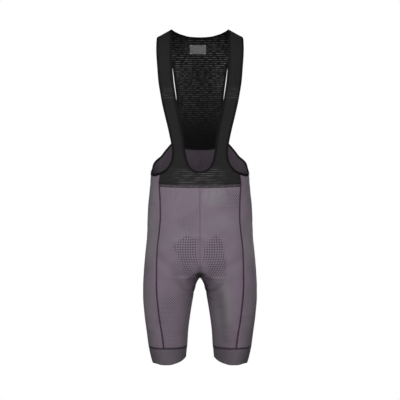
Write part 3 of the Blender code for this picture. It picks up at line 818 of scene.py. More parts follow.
def makeCloth(name, node, points, look):
    # a thin double wall of cloth with rounded edges, drawn from the outside face inwards
    closed, wall = look.get("closed", False), look["wall"]
    relief, folds, pad = reliefAt(points)
    none = np.zeros(pad.shape)
    ribZone, dense = look["zones"](points) if "zones" in look else (none, none)
    across, down = travelOf(points, 1), travelOf(points)
    sides = {"left": across, "right": across[:, -1:] - across,
             "top": down, "bottom": down[-1:] - down}
    dips = [share * bell(sides[seam], seamPull["width"]) for seam, share in look["seams"].items()]
    wave = np.cos(2 * math.pi * points[..., 2] / ribs["pitch"])
    relief = relief - seamPull["dip"] * np.maximum.reduce([none, *dips])
    relief = relief + ribs["depth"] * ribZone * wave
    # the crease depths become painted shade in their troughs and painted light on their shoulders
    if "zones" not in look:
        # painted shade along the insides and outsides of the thighs
        folds = folds + legShade(points)
    if "cleft" in look:
        # painted shade deep in the crotch, where the legs part
        folds = folds + cleftShade(points, sides["right"])
    outer = points + gridNormals(points, closed) * relief[..., None]
    normals = gridNormals(outer, closed)
    shell, faces, borders = doubleWall(outer, outer - normals * wall, wall * rimBulge, closed)
    zones = (folds, padZoneAt(points, pad), none, none, ribZone, dense,
             patchAmount(points, knitPatches["clear"]), patchAmount(points, knitPatches["greyDyeAndLight"]))
    values = np.stack(zones, -1).reshape(-1, len(zones))
    # the reverse face is marked to be darker: partly its own duller tone, partly painted shade
    # inside the garment
    inside, clear, paintedRimShade = (np.array([zone == key for zone in zoneNames], float)
                              for key in ("inside", "clear", "paintedRimShade"))
    insideValues = values + inside + clear * insideClearness(points).reshape(-1, 1)
    # the rims take half the reverse face's darkening and are painted darker still as shade
    values = np.concatenate((values, insideValues, values[borders] + inside / 2 + paintedRimShade))
    uvMaps = {"cloth": clothMap(points, closed), "level": points.reshape(-1, 3)[:, (0, 2)] * mm}
    uvMaps = {key: np.concatenate((uv, uv, uv[borders])) for key, uv in uvMaps.items()}
    piece = addMesh(name, node, shell, faces, [look["cloth"]], uvMaps,
                    dict(zip(zoneNames, values.T)))
    print("cloth", name, none.size, "points a side")
    stateCut(piece, points)
    return {"points": outer, "normals": normals}


clothStretch = 1.08     # the knit is cut this much narrower than it is when worn
shortestSheet = 0.01    # the waist tape's cut is taken as a whole centimetre deep


def stateCut(piece, points):
    # the flat size that the panel was cut to, measured along the cloth
    across, down = stepsOf(points, 1) * mm, stepsOf(points) * mm
    width = float(across.sum(axis=1).max()) / clothStretch
    length = max(float(down.sum(axis=0).max()), shortestSheet)
    area = float((across[:-1] + across[1:]).sum() / 2 * down.mean()) / clothStretch
    area = min(area, width * length)
    print("cut of", piece.name, round(width, 3), "x", round(length, 3), "m,", round(area, 4), "m2")


def edgeOf(cloth, side, first=0, last=None):
    # a border of a panel: its points, its normals and the way out of the cloth
    points, normals = cloth["points"], cloth["normals"]
    if side in ("left", "right"):
        points, normals = points.transpose(1, 0, 2), normals.transpose(1, 0, 2)
    if side in ("right", "bottom"):
        points, normals = points[::-1], normals[::-1]
    return [part[first:last] for part in (points[0], normals[0], unit(points[0] - points[1]))]


def readAlong(travelled, places, *paths):
    return [np.stack([np.interp(places, travelled, values) for values in path.T], -1)
            for path in paths]


def evenly(step, closed, *paths):
    # cuts a path into even steps, and reads what goes with it at the same places
    if closed:
        paths = [np.concatenate((path, path[:1])) for path in paths]
    travelled = travelOf(paths[0])
    return readAlong(travelled, cutEvenly(travelled, step)[:-1 if closed else None], *paths)


def eased(path, closed, passes):
    # rounds off a path's corners
    for _ in range(passes):
        smooth = (np.roll(path, 1, 0) + 2 * path + np.roll(path, -1, 0)) / 4
        if not closed:
            smooth[0], smooth[-1] = path[0], path[-1]
        path = smooth
    return path


bodyPart, threadPart = 0, 1     # a sewn piece's materials: its cord or cloth, and its thread


def tube(number, path, normals, size, sides, closed=False, squareness=1.0, swell=1.0):
    # a solid tube along a path, flattened against the cloth: points, faces, map, material number
    count, (halfWidth, halfHeight) = len(path), size
    turn = np.linspace(0, 2 * math.pi, sides, endpoint=False)
    along = unit(slopes(path, 0, closed))
    across = unit(np.cross(normals, along))
    up = np.cross(along, across)
    swell = np.broadcast_to(swell, count)[:, None, None]
    wide = (rounded(np.cos(turn), squareness) * halfWidth)[None, :, None] * swell
    high = (rounded(np.sin(turn), squareness) * halfHeight)[None, :, None] * swell
    points = path[:, None] + across[:, None] * wide + up[:, None] * high
    ring = np.arange(count * sides).reshape(count, sides)
    after = np.roll(ring, -1, 0)
    faces = np.stack((ring, np.roll(ring, -1, 1), np.roll(after, -1, 1), after), -1)
    faces = faces[:count if closed else -1].reshape(-1, 4).tolist()
    if not closed:
        faces += [ring[0].tolist(), ring[-1, ::-1].tolist()]
    around = np.broadcast_to(turn * halfWidth, (count, sides))
    uv = np.stack((around, np.broadcast_to(travelOf(path)[:, None], around.shape)), -1) * mm
    return points.reshape(-1, 3), faces, uv.reshape(-1, 2), number


def addParts(name, node, parts, materials):
    # parts, each (points, faces, map, material number), made into one piece
    faces, numbers, base = [], [], 0
    for points, partFaces, _, number in parts:
        faces += [[base + i for i in face] for face in partFaces]
        numbers += [number] * len(partFaces)
        base += len(points)
    points, uv = (np.concatenate(column(parts, i)) for i in (0, 2))
    return addMesh(name, node, points, faces, materials, {"cloth": uv}, None, numbers)


threadForm = {"points": 5, "sides": 5, "sunk": 0.4, "endSize": 0.45,
              "crossSides": 4, "crossSunk": 0.5}


def stitchRow(path, normals, look, closed=False):
    # short threads end to end, each pulled into the cloth at its ends
    count, endSize = threadForm["points"], threadForm["endSize"]
    line, up = evenly(look["length"] / (count - 1), closed, path, normals)
    arch = np.sin(np.linspace(0, math.pi, count))
    parts = []
    for start in range(0, len(line) - count, count):
        piece, lift = line[start:start + count], up[start:start + count]
        piece = piece + lift * (look["lift"] * (arch - threadForm["sunk"]))[:, None]
        swell = between(endSize, 1, arch)
        size = (look["thread"], look["thread"])
        parts.append(tube(threadPart, piece, lift, size, threadForm["sides"], swell=swell))
    return parts


def zigzag(path, normals, look, closed=False):
    # one thread to and fro across a seam, with four points a turn
    line, up = evenly(look["pitch"] / 4, closed, path, normals)
    across = unit(np.cross(up, unit(slopes(line, 0, closed))))
    wave = np.sin(np.arange(len(line)) * math.pi / 2)[:, None]
    line = line + across * (wave * look["reach"])
    line = line + up * (look["lift"] * (1 - threadForm["crossSunk"] * wave ** 2))
    size = (look["thread"], look["thread"])
    return [tube(threadPart, line, up, size, threadForm["crossSides"], closed)]


# Finishes. Colours are linear; lengths of weaves and bumps are in metres on the cloth's own map.
nodeLayout = {"columns": 6, "across": 220, "down": 260}
knitShape = {
    # values between which each effect comes in
    "net": 1.0, "square": (-0.6, 1.6), "rib": (-0.1, 1.0), "gap": 0.68, "drift": (0.35, 0.65),
    # shade: the factors between which the painted shade and light of the creases is held
    "patchy": (0.42, 0.6), "tint": (0.3, 0.7), "shade": (0.2, 1.25),
    # finer settings of the noise, and the grain's share of the relief
    "detail": {"warp": 1.0, "dash": 2.0, "grain": 3.0, "drift": 2.0}, "driftRoughness": 0.45,
     "stitchScale": 0.6, "stitchBase": 0.25, "ribGrain": 0.3,
}
knitGloss = {"Specular IOR Level": 0.12, "Sheen Roughness": 0.6}


def put(tree, kind, inputs=None, **settings):
    # a node with its settings, whose inputs are given values or other nodes' outputs
    node = tree.nodes.new("ShaderNode" + kind)
    row, place = divmod(len(tree.nodes), nodeLayout["columns"])
    node.location = (place * nodeLayout["across"], -row * nodeLayout["down"])
    for key, value in settings.items():
        setattr(node, key, value)
    for key, value in (inputs or {}).items():
        socket = node.inputs[key]
        if isinstance(value, bpy.types.NodeSocket):
            tree.links.new(value, socket)
        else:
            socket.default_value = (*value, 1.0) if socket.type == "RGBA" else value
    return node


def calc(tree, operation, *values, kind="Math"):
    return put(tree, kind, dict(enumerate(values)), operation=operation).outputs[0]


def scaled(tree, vector, scale):
    return put(tree, "VectorMath", {0: vector, "Scale": scale}, operation="SCALE").outputs[0]


def spread(tree, value, low, high, toLow=0.0, toHigh=1.0, curve="LINEAR"):
    inputs = {"Value": value, "From Min": low, "From Max": high, "To Min": toLow, "To Max": toHigh}
    return put(tree, "MapRange", inputs, interpolation_type=curve).outputs[0]


def softly(tree, value, low, high):
    return spread(tree, value, low, high, curve="SMOOTHSTEP")


def blend(tree, share, first, second):
    return put(tree, "Mix", {0: share, 6: first, 7: second}, data_type="RGBA").outputs[2]


def noiseOf(tree, place, scale, detail, **other):
    inputs = {"Vector": place, "Scale": scale, "Detail": knitShape["detail"][detail], **other}
    return put(tree, "TexNoise", inputs).outputs


def waveOf(tree, place, pitch):
    # a cosine along one direction of the map
    share = calc(tree, "DIVIDE", place, pitch)
    return calc(tree, "COSINE", calc(tree, "MULTIPLY", share, 2 * math.pi))


socketKinds = {"Map": "Vector", "Colour": "Color", "First": "Color", "Second": "Color"}


def nodeGroup(name, inputs, outputs):
    tree = bpy.data.node_groups.new(name, "ShaderNodeTree")
    for way, labels in (("INPUT", inputs), ("OUTPUT", outputs)):
        for label in labels:
            kind = "NodeSocket" + socketKinds.get(label, "Float")
            tree.interface.new_socket(label, in_out=way, socket_type=kind)
    return tree, tree.nodes.new("NodeGroupInput").outputs, tree.nodes.new("NodeGroupOutput").inputs


def feed(tree, targets, results):
    for label, socket in results.items():
        tree.links.new(socket, targets[label])
    return tree


def makeDimpleGroup():
    # a net of small dimples in staggered rows, and a square one that the pad presses through
    tree, given, made = nodeGroup(
        "dimpleKnit", ("Map", "Pitch", "Edge", "Square Pitch", "Warp", "Warp Size"),
        ("Dimples", "Square", "Height"))
    flat = put(tree, "SeparateXYZ", {0: given["Map"]}).outputs
    across, down = (waveOf(tree, flat[i], given["Pitch"]) for i in (0, 1))
    net = softly(tree, calc(tree, "MULTIPLY", across, down), given["Edge"], knitShape["net"])
    noise = noiseOf(tree, given["Map"], calc(tree, "DIVIDE", 1.0, given["Warp Size"]), "warp")
    centred = calc(tree, "SUBTRACT", noise["Color"], (0.5, 0.5, 0.5), kind="VectorMath")
    pulled = scaled(tree, centred, given["Warp"])
    place = calc(tree, "ADD", given["Map"], pulled, kind="VectorMath")
    bent = put(tree, "SeparateXYZ", {0: place}).outputs
    across, down = (waveOf(tree, bent[i], given["Square Pitch"]) for i in (0, 1))
    square = softly(tree, calc(tree, "ADD", across, down), *knitShape["square"])
    height = calc(tree, "SUBTRACT", 1.0, net)
    return feed(tree, made, {"Dimples": net, "Square": square, "Height": height})


def makeRibGroup():
    # raised ribs that run across the cloth, broken into dashes
    tree, given, made = nodeGroup(
        "ribKnit", ("Map", "Pitch", "Sway", "Dash", "Rows", "Break"), ("Ribs", "Height"))
    stretch = put(tree, "CombineXYZ", {0: 1.0, 1: given["Rows"], 2: 1.0}).outputs[0]
    place = calc(tree, "MULTIPLY", given["Map"], stretch, kind="VectorMath")
    noise = noiseOf(tree, place, calc(tree, "DIVIDE", 1.0, given["Dash"]), "dash")[0]
    level = put(tree, "SeparateXYZ", {0: given["Map"]}).outputs[1]
    swayed = calc(tree, "ADD", level, calc(tree, "MULTIPLY", noise, given["Sway"]))
    rib = softly(tree, waveOf(tree, swayed, given["Pitch"]), *knitShape["rib"])
    gap = softly(tree, noise, given["Break"], knitShape["gap"])
    return feed(tree, made, {"Ribs": calc(tree, "MULTIPLY", rib, gap), "Height": rib})


def makeYarnGroup():
    # the fine grain of knitted yarn: little columns of stitches
    tree, given, made = nodeGroup("yarnGrain", ("Map", "Stitch"), ("Grain", "Height"))
    across = put(tree, "SeparateXYZ", {0: given["Map"]}).outputs[0]
    scale = calc(tree, "DIVIDE", knitShape["stitchScale"], given["Stitch"])
    noise = noiseOf(tree, given["Map"], scale, "grain")[0]
    wave = waveOf(tree, across, given["Stitch"])
    height = calc(tree, "MULTIPLY_ADD", wave, noise, knitShape["stitchBase"])
    return feed(tree, made, {"Grain": noise, "Height": height})


def makePaintedShadeGroup():
    # painted shade and light: troughs are painted darker and raised cloth lighter, rims are painted
    # darker, and the reverse face is darker, partly its own tone and partly painted shade
    tree, given, made = nodeGroup(
        "paintedShade", ("Colour", "Painted Fold Shade", "Painted Rim Shade", "Inside", "Painted Shade Strength", "Rim Shade Strength",
                      "Reverse Tone And Shade Strength"), ("Colour",))
    paintedFoldShade = calc(tree, "MULTIPLY_ADD", given["Painted Fold Shade"], given["Painted Shade Strength"], 1.0)
    low, high = knitShape["shade"]
    whole = put(tree, "Clamp", {"Value": paintedFoldShade, "Min": low, "Max": high}).outputs[0]
    for place, strength in (("Painted Rim Shade", "Rim Shade Strength"), ("Inside", "Reverse Tone And Shade Strength")):
        loss = calc(tree, "MULTIPLY", given[place], given[strength])
        whole = calc(tree, "MULTIPLY", whole, calc(tree, "SUBTRACT", 1.0, loss))
    return feed(tree, made, {"Colour": scaled(tree, given["Colour"], whole)})


def makeDriftGroup():
    # slow changes between two dye tints
    tree, given, made = nodeGroup(
        "dyeDrift", ("Map", "First", "Second", "Size", "Amount"), ("Colour", "Drift"))
    scale = calc(tree, "DIVIDE", 1.0, given["Size"])
    noise = noiseOf(tree, given["Map"], scale, "drift", Roughness=knitShape["driftRoughness"])[0]
    share = spread(tree, noise, *knitShape["drift"], 0.0, given["Amount"])
    colour = blend(tree, share, given["First"], given["Second"])
    return feed(tree, made, {"Colour": colour, "Drift": noise})


groups = {"dimple": makeDimpleGroup(), "rib": makeRibGroup(), "yarn": makeYarnGroup(),
          "paintedFoldShade": makePaintedShadeGroup(), "drift": makeDriftGroup()}


def useGroup(tree, key, inputs):
    return put(tree, "Group", inputs, node_tree=groups[key]).outputs


def startCloth(name, look):
    material = bpy.data.materials.new(name)
    material.use_nodes = True
    tree = material.node_tree
    shader = tree.nodes["Principled BSDF"].inputs
    gloss = {"Roughness": look["roughness"], "Sheen Weight": look["sheen"], **knitGloss}
    for label, value in gloss.items():
        shader[label].default_value = value
    place = put(tree, "UVMap", uv_map="cloth").outputs[0]
    zones = {key: put(tree, "Attribute", attribute_name=key).outputs["Fac"] for key in zoneNames}
    grain = useGroup(tree, "yarn", {"Map": place, "Stitch": look["stitch"]})
    return material, tree, place, zones, grain


def finishCloth(material, colour, height, look, zones):
    tree = material.node_tree
    # painted shade and light from creases, rims and the reverse face go into the colour here
    shaded = useGroup(tree, "paintedFoldShade", {
        "Colour": colour, "Painted Fold Shade": zones["paintedFoldShade"], "Painted Rim Shade": zones["paintedRimShade"],
        "Inside": zones["inside"], "Painted Shade Strength": look["paintedShadeStrength"],
        "Rim Shade Strength": look["rimShadeStrength"], "Reverse Tone And Shade Strength": look["reverseToneAndShade"]})
    bump = {"Height": height, "Strength": look["bump"], "Distance": look["bumpDepth"]}
    feed(tree, tree.nodes["Principled BSDF"].inputs,
         {"Base Color": shaded[0], "Normal": put(tree, "Bump", bump).outputs[0]})
    return material


def driftOf(tree, place, look):
    return useGroup(tree, "drift", {"Map": place, "First": look["dark"], "Second": look["light"],
                                    "Size": look["driftSize"], "Amount": look["driftAmount"]})


def dimpleCloth(name, look):
    material, tree, place, zones, grain = startCloth(name, look)
    drift = driftOf(tree, place, look)
    net = useGroup(tree, "dimple", {
        "Map": place, "Pitch": look["pitch"], "Edge": look["edge"],
        "Square Pitch": look["squarePitch"], "Warp": look["warp"], "Warp Size": look["warpSize"]})
    patchy = spread(tree, drift["Drift"], *knitShape["patchy"], look["faint"], look["patchy"])
    opened = calc(tree, "MULTIPLY_ADD", zones["clear"], look["clear"], patchy)
    amount = calc(tree, "MULTIPLY", net["Dimples"], opened)
    pressed = calc(tree, "MULTIPLY", net["Square"], look["padContrast"])
    hole = put(tree, "Mix", {0: zones["padZone"], 2: amount, 3: pressed}, data_type="FLOAT")
    # greyer, lighter patches: partly dye, partly painted light on the hips and flanks
    dyed = blend(tree, zones["greyDyeAndLight"], drift["Colour"], look["greyDyeAndLight"])
    colour = blend(tree, hole.outputs[0], dyed, look["hole"])
    height = calc(tree, "MULTIPLY_ADD", net["Height"], 1.0, grain["Height"])
    return finishCloth(material, colour, height, look, zones)


def ribCloth(name, look):
    # smooth knit, with lighter ribs across the body in its rib zone
    material, tree, _, zones, grain = startCloth(name, look)
    level = put(tree, "UVMap", uv_map="level").outputs[0]
    net = useGroup(tree, "rib", {
        "Map": level, "Pitch": ribs["pitch"] * mm, "Sway": look["sway"], "Dash": look["dash"],
        "Rows": look["rows"], "Break": look["break"]})
    tint = spread(tree, grain["Grain"], *knitShape["tint"])
    colour = blend(tree, tint, look["dark"], look["light"])
    # darker in the dense zone: painted shade on the strap tops, and on the mesh back denser knit
    # with painted shade
    colour = blend(tree, zones["dense"], colour, look["dense"])
    shown, raised = (calc(tree, "MULTIPLY", net[key], zones["ribZone"])
                     for key in ("Ribs", "Height"))
    colour = blend(tree, shown, colour, look["ribLight"])
    height = calc(tree, "MULTIPLY_ADD", grain["Height"], knitShape["ribGrain"], raised)
    return finishCloth(material, colour, height, look, zones)


def plainCloth(name, look):
    material, tree, place, zones, grain = startCloth(name, look)
    return finishCloth(material, driftOf(tree, place, look)["Colour"], grain["Height"], look, zones)


plumLook = {
    "dark": (0.186, 0.146, 0.187), "light": (0.178, 0.148, 0.177), "hole": (0.030, 0.019, 0.030),
    # the greyer, lighter tint is partly dye and partly painted light
    "greyDyeAndLight": (0.208, 0.188, 0.207), "warp": 0.0022, "warpSize": 0.022,
    "driftSize": 0.07, "driftAmount": 0.6, "pitch": 0.0074, "edge": -0.2, "squarePitch": 0.0070,
    "stitch": 0.0012, "faint": 0.12, "patchy": 0.4, "clear": 0.6, "padContrast": 0.85,
    "roughness": 0.82, "sheen": 0.03, "bump": 0.5, "bumpDepth": 0.0003,
    "paintedShadeStrength": 0.13, "rimShadeStrength": 0.5, "reverseToneAndShade": 0.61,
}
charcoalLook = {
    "dark": (0.0134, 0.0131, 0.0139), "light": (0.0172, 0.0168, 0.0178),
    # dense: a darker colour painted as shade on the tops of the straps
    "dense": (0.0118, 0.0118, 0.0124), "ribLight": (0.088, 0.080, 0.086),
    "sway": 0.0004, "dash": 0.030, "rows": 3.0, "break": 0.33, "stitch": 0.0012,
    "roughness": 0.8, "sheen": 0.0, "bump": 0.4, "bumpDepth": 0.0004,
    "paintedShadeStrength": 0.3, "rimShadeStrength": 0.5, "reverseToneAndShade": 0.2,
}
meshLook = {
    "dark": (0.0052, 0.0052, 0.0055), "light": (0.0092, 0.0092, 0.0095),
    # dense: darker low on the back, partly the denser knit and partly painted shade
    "dense": (0.0019, 0.0019, 0.002), "ribLight": (0.114, 0.114, 0.116),
    "sway": 0.0008, "dash": 0.012, "rows": 2.0, "break": 0.36, "stitch": 0.0016,
    "roughness": 0.85, "sheen": 0.0, "bump": 0.6, "bumpDepth": 0.0005,
    "paintedShadeStrength": 0.25, "rimShadeStrength": 0.4, "reverseToneAndShade": 0.0,
}
plainKeys = ("dark", "light", "driftSize", "stitch", "bumpDepth")
plainLook = {"driftAmount": 1.0, "roughness": 0.7, "sheen": 0.0, "bump": 0.5,
             "paintedShadeStrength": 0.0, "rimShadeStrength": 0.0, "reverseToneAndShade": 0.0}
plainLooks = {
    # darker and lighter tint, drift size, stitch, bump depth
    "gripperKnit": ((0.106, 0.090, 0.105), (0.122, 0.103, 0.120), 0.05, 0.0011, 0.0002),
    "seamTape": ((0.044, 0.037, 0.043), (0.080, 0.069, 0.077), 0.012, 0.0009, 0.0003),
    "blackEdging": ((0.0030, 0.0028, 0.0032), (0.0062, 0.0055, 0.0064), 0.004, 0.0008, 0.0002),
    "darkSeam": ((0.0050, 0.0035, 0.0050), (0.0090, 0.0065, 0.0090), 0.004, 0.0008, 0.0002),
    "plumSeam": ((0.050, 0.031, 0.049), (0.068, 0.044, 0.066), 0.004, 0.0008, 0.0002),
    "faintSeam": ((0.205, 0.161, 0.205), (0.222, 0.174, 0.222), 0.004, 0.0008, 0.0002),
    "plumThread": ((0.042, 0.025, 0.041), (0.070, 0.045, 0.068), 0.003, 0.0004, 0.0001),
    "faintThread": ((0.185, 0.145, 0.185), (0.212, 0.166, 0.212), 0.003, 0.0004, 0.0001),
    "blackThread": ((0.0045, 0.0045, 0.005), (0.008, 0.008, 0.009), 0.003, 0.0004, 0.0001),
    "wovenLabel": ((0.130, 0.130, 0.132), (0.160, 0.160, 0.162), 0.006, 0.0006, 0.0001),
    "brushedPad": ((0.040, 0.038, 0.042), (0.056, 0.053, 0.058), 0.01, 0.0015, 0.0004),
    "tackThread": ((0.60, 0.60, 0.60), (0.70, 0.70, 0.70), 0.003, 0.0004, 0.0001),
}
plainChanges = {
    "gripperKnit": {"sheen": 0.02, "bump": 0.35, "paintedShadeStrength": 0.12, "rimShadeStrength": 0.65,
                    "reverseToneAndShade": 0.4},
    "seamTape": {"roughness": 0.75, "paintedShadeStrength": 0.1, "rimShadeStrength": 0.4,
                 "reverseToneAndShade": 0.3},
    "wovenLabel": {"roughness": 0.6, "bump": 0.6, "rimShadeStrength": 0.3},
    "brushedPad": {"roughness": 0.9, "sheen": 0.1, "paintedShadeStrength": 0.25, "rimShadeStrength": 0.3},
}
plumKnit = dimpleCloth("plumKnit", plumLook)
charcoalKnit = ribCloth("charcoalKnit", charcoalLook)
blackRibMesh = ribCloth("blackRibMesh", meshLook)
plain = {}
for name, row in plainLooks.items():
    look = {**plainLook, **dict(zip(plainKeys, row)), **plainChanges.get(name, {})}
    plain[name] = plainCloth(name, look)
print("materials made:", len(bpy.data.materials))


# The panels: each replaces its node of the frame, and the size of the cut it was made to is
# printed.
bibPoints, armholeRow = bibGrid()
backPoints, neckColumn = upperBackGrid()
frontPoints = frontGrid()
shortsBackPoints, lumbarColumn = shortsBackGrid()
middlePanels = {
    "bib_front": {"name": "bibFront", "slot": "charcoal_knit", "cloth": charcoalKnit, "wall": 1.4,
                  "grid": bibPoints, "seams": {}, "zones": bibZones},
    "upper_back": {"name": "upperBack", "slot": "black_mesh", "cloth": blackRibMesh, "wall": 1.2,
                   "grid": backPoints, "seams": {"bottom": 1}, "zones": meshZones},
    "waist_band": {"name": "waistTape", "slot": "band_grey", "cloth": plain["seamTape"],
                   "wall": 1.6, "grid": bandGrid(), "seams": {"top": 1, "bottom": 1}},
}
handedPanels = {
    "front": {"slot": "plum_knit", "cloth": plumKnit, "grid": frontPoints, "wall": 1.6,
              "seams": {"top": 1, "bottom": 1, "left": 1, "right": 0.05}, "cleft": True},
    "side": {"slot": "plum_knit", "cloth": plumKnit, "grid": sideGrid(), "wall": 1.6,
             "seams": {"left": 1, "right": 1, "bottom": 1}},
    "back": {"slot": "plum_knit", "cloth": plumKnit, "grid": shortsBackPoints, "wall": 1.6,
             "seams": {"left": 1, "right": 1, "bottom": 1}, "cleft": True},
    "gripper": {"slot": "gripper_band", "cloth": plain["gripperKnit"], "grid": gripperGrid(),
                "wall": 1.8, "seams": {"top": 1}, "closed": True},
}
bib, upperBack, band = (makeCloth(look["name"], node, look["grid"], look)
                        for node, look in middlePanels.items())
panels = {}
for hand, side in (("Left", 1), ("Right", -1)):
    for stem, look in handedPanels.items():
        node = stem + "_" + hand.lower()
        panels[stem + hand] = makeCloth(stem + hand, node, look["grid"] * (side, 1, 1), look)


# The edging round the neck and the armholes, with its overlocked thread on both faces.
edgingLook = {"halfWidth": 3.1, "outside": 0.3, "proud": 0.4, "sides": 12, "squareness": 0.6,
              "step": 2.2, "easing": 3, "turnEasing": 12, "wall": 1.4,
              "thick": (396, 412), "thicker": 0.2}      # fuller under the arms, at these depths
overlockLook = {"pitch": 2.4, "reach": 1.0, "thread": 0.26, "lift": 0.25, "inset": 3.2}


def makeEdging(name, node, thicker, *edges):
    edge = [np.concatenate(parts) for parts in zip(*edges)]
    points, normals, away = evenly(edgingLook["step"], True, *edge)
    points = eased(points, True, edgingLook["easing"])
    normals = unit(eased(normals, True, edgingLook["turnEasing"]))
    away = eased(away, True, edgingLook["turnEasing"])
    away = unit(away - normals * (away * normals).sum(-1, keepdims=True))
    wall = edgingLook["wall"]
    middle = points + away * edgingLook["outside"] - normals * wall / 2
    size = (edgingLook["halfWidth"], wall / 2 + edgingLook["proud"])
    swell = 1 + thicker * softStep(-points[:, 2], *edgingLook["thick"])
    parts = [tube(bodyPart, middle, normals, size, edgingLook["sides"], True,
                  edgingLook["squareness"], swell)]
    for face, depth in ((1, 0), (-1, wall)):
        line = points - away * overlockLook["inset"] - normals * depth
        parts += zigzag(line, normals * face, overlockLook, True)
    addParts(name, node, parts, [plain["blackEdging"], plain["blackThread"]])
    print("edging", name, round(travelOf(points)[-1] * mm, 3), "m long")


backMiddle = upperBack["points"].shape[1] // 2
makeEdging("neckEdging", "neck_binding", 0, edgeOf(bib, "right"),
           edgeOf(upperBack, "top", backMiddle - neckColumn + 1, backMiddle + neckColumn))
for hand, way, bladeSide in (("Left", 1, "right"), ("Right", -1, "left")):
    strap = [part[::way][:armholeRow + 1] for part in edgeOf(bib, "left")]
    blade = [part[::-1][1:-1] for part in edgeOf(upperBack, bladeSide)]
    makeEdging("armholeEdging" + hand, "armhole_binding_" + hand.lower(), edgingLook["thicker"],
               strap, edgeOf(panels["side" + hand], "top", 1),
               edgeOf(panels["back" + hand], "top", 1, lumbarColumn), blade)


# The sewn seams: a flat cord of overlapped cloth, two rows of stitches and a thread to and fro.
seamLook = {"halfWidth": 2.9, "halfHeight": 0.45, "sides": 8, "squareness": 0.8, "step": 3.0,
            "sink": 0.05, "easing": 1, "turnEasing": 4}
# threads lie at these shares of the seam's half height
seamRows = {"length": 2.6, "thread": 0.26, "lift": 0.3, "apart": 2.2, "level": 0.6}
seamCross = {"pitch": 2.6, "reach": 2.0, "thread": 0.22, "lift": 0.38, "level": 0.7}
seamSizes = {"frontCentre": 0.35, "backCentre": 0.7, "lumbar": 0.9, "waist": 0.5}


def makeSeam(name, edge, materials, size=1.0, closed=False):
    points, normals = edge[:2]
    line, up = evenly(seamLook["step"], closed, points, normals)
    line = eased(line, closed, seamLook["easing"])
    up = unit(eased(up, closed, seamLook["turnEasing"]))
    width, height = seamLook["halfWidth"] * size, seamLook["halfHeight"]
    parts = [tube(bodyPart, line - up * seamLook["sink"], up, (width, height), seamLook["sides"],
                  closed, seamLook["squareness"])]
    across = unit(np.cross(up, unit(slopes(line, 0, closed))))
    for way in (-1, 1):
        row = line + across * way * seamRows["apart"] * size + up * height * seamRows["level"]
        parts += stitchRow(row, up, seamRows, closed)
    parts += zigzag(line + up * height * seamCross["level"], up, seamCross, closed)
    addParts(name, None, parts, [plain[key] for key in materials])
    print("seam", name, round(travelOf(points)[-1] * mm, 3), "m long")


def crotchRowOf(edge):
    return int(np.argmin(np.abs(edge[:, 2] - bodyForm["crotch"])))


def centreSeam(name, cloth, row, materials, size):
    # on the centre line, facing straight forwards or backwards
    points, normals, _ = edgeOf(cloth, "right", 0, row)
    makeSeam(name, (points * (0, 1, 1), unit(normals * (0, 1, 1))), materials, size)


plumSewing, faintSewing = ("plumSeam", "plumThread"), ("faintSeam", "faintThread")
blackSewing, tapeSewing = ("darkSeam", "blackThread"), ("seamTape", "blackThread")
gripperSeam = {"rise": 3.2, "proud": 0.4, "size": 1.9}
lumbarInside = {"drop": 1.4, "depth": 1.4}
crotchRow = crotchRowOf(frontPoints[:, 0])
for hand in ("Left", "Right"):
    sidePanel, inside = panels["side" + hand], edgeOf(panels["front" + hand], "right", crotchRow)
    makeSeam("sideSeam" + hand, edgeOf(sidePanel, "left"), plumSewing)
    makeSeam("backSeam" + hand, edgeOf(sidePanel, "right"), plumSewing)
    makeSeam("innerSeam" + hand, inside, plumSewing)
    line, up, _ = edgeOf(panels["gripper" + hand], "top")
    line = line + up * gripperSeam["proud"] + (0, 0, gripperSeam["rise"])
    makeSeam("gripperSeam" + hand, (line, up), plumSewing,
             gripperSeam["size"], True)
centreSeam("frontCentreSeam", panels["frontLeft"], crotchRow, faintSewing, seamSizes["frontCentre"])
seatRow = crotchRowOf(shortsBackPoints[:, -1])
centreSeam("backCentreSeam", panels["backLeft"], seatRow, plumSewing, seamSizes["backCentre"])
line, up, _ = edgeOf(upperBack, "bottom")
makeSeam("lumbarSeam", (line, up), blackSewing, seamSizes["lumbar"])
line = line - up * lumbarInside["depth"] - (0, 0, lumbarInside["drop"])
makeSeam("lumbarSeamInside", (line, -up), blackSewing, seamSizes["lumbar"])
makeSeam("waistSeam", edgeOf(band, "top"), tapeSewing, seamSizes["waist"])

# A row of stitches holds the edging down along the inside of each strap.
strapStitch = {"inset": 8.5, "length": 3.4, "thread": 0.3, "lift": 0.2}
rows = [readAlong(travelOf(points), [strapStitch["inset"]], points, normals)
        for points, normals in zip(bib["points"][:, ::-1], bib["normals"][:, ::-1])]
line, up = (np.concatenate(column(rows, i)) for i in (0, 1))
addParts("strapStitches", None, stitchRow(line, unit(up), strapStitch),
         [plain["blackEdging"], plain["blackThread"]])


# The label: a bare woven patch inside the back of the neck, tacked at its corners.
labelCut = {
    "left": -30.5, "right": 18, "top": 38, "bottom": 63, "columns": 32, "rows": 16,
    "gap": 2.1, "wall": 0.9, "sag": 0.25,
    "border": 1.3, "borderSize": (0.8, 0.28), "borderPoints": 12, "borderSides": 6,
    "borderSquareness": 0.8,
    "tackLength": 3.4, "tackPitch": 1.1, "tackThread": 0.65, "tackTurns": 14, "tackSides": 5,
}


def onLabel(x, drop):
    place = chestPoint(x, drop)
    out = unit(outwardFrom(place) * (0, 1, 0))
    return place - out * (labelCut["gap"] + labelCut["wall"] + labelCut["sag"] / 2), -out


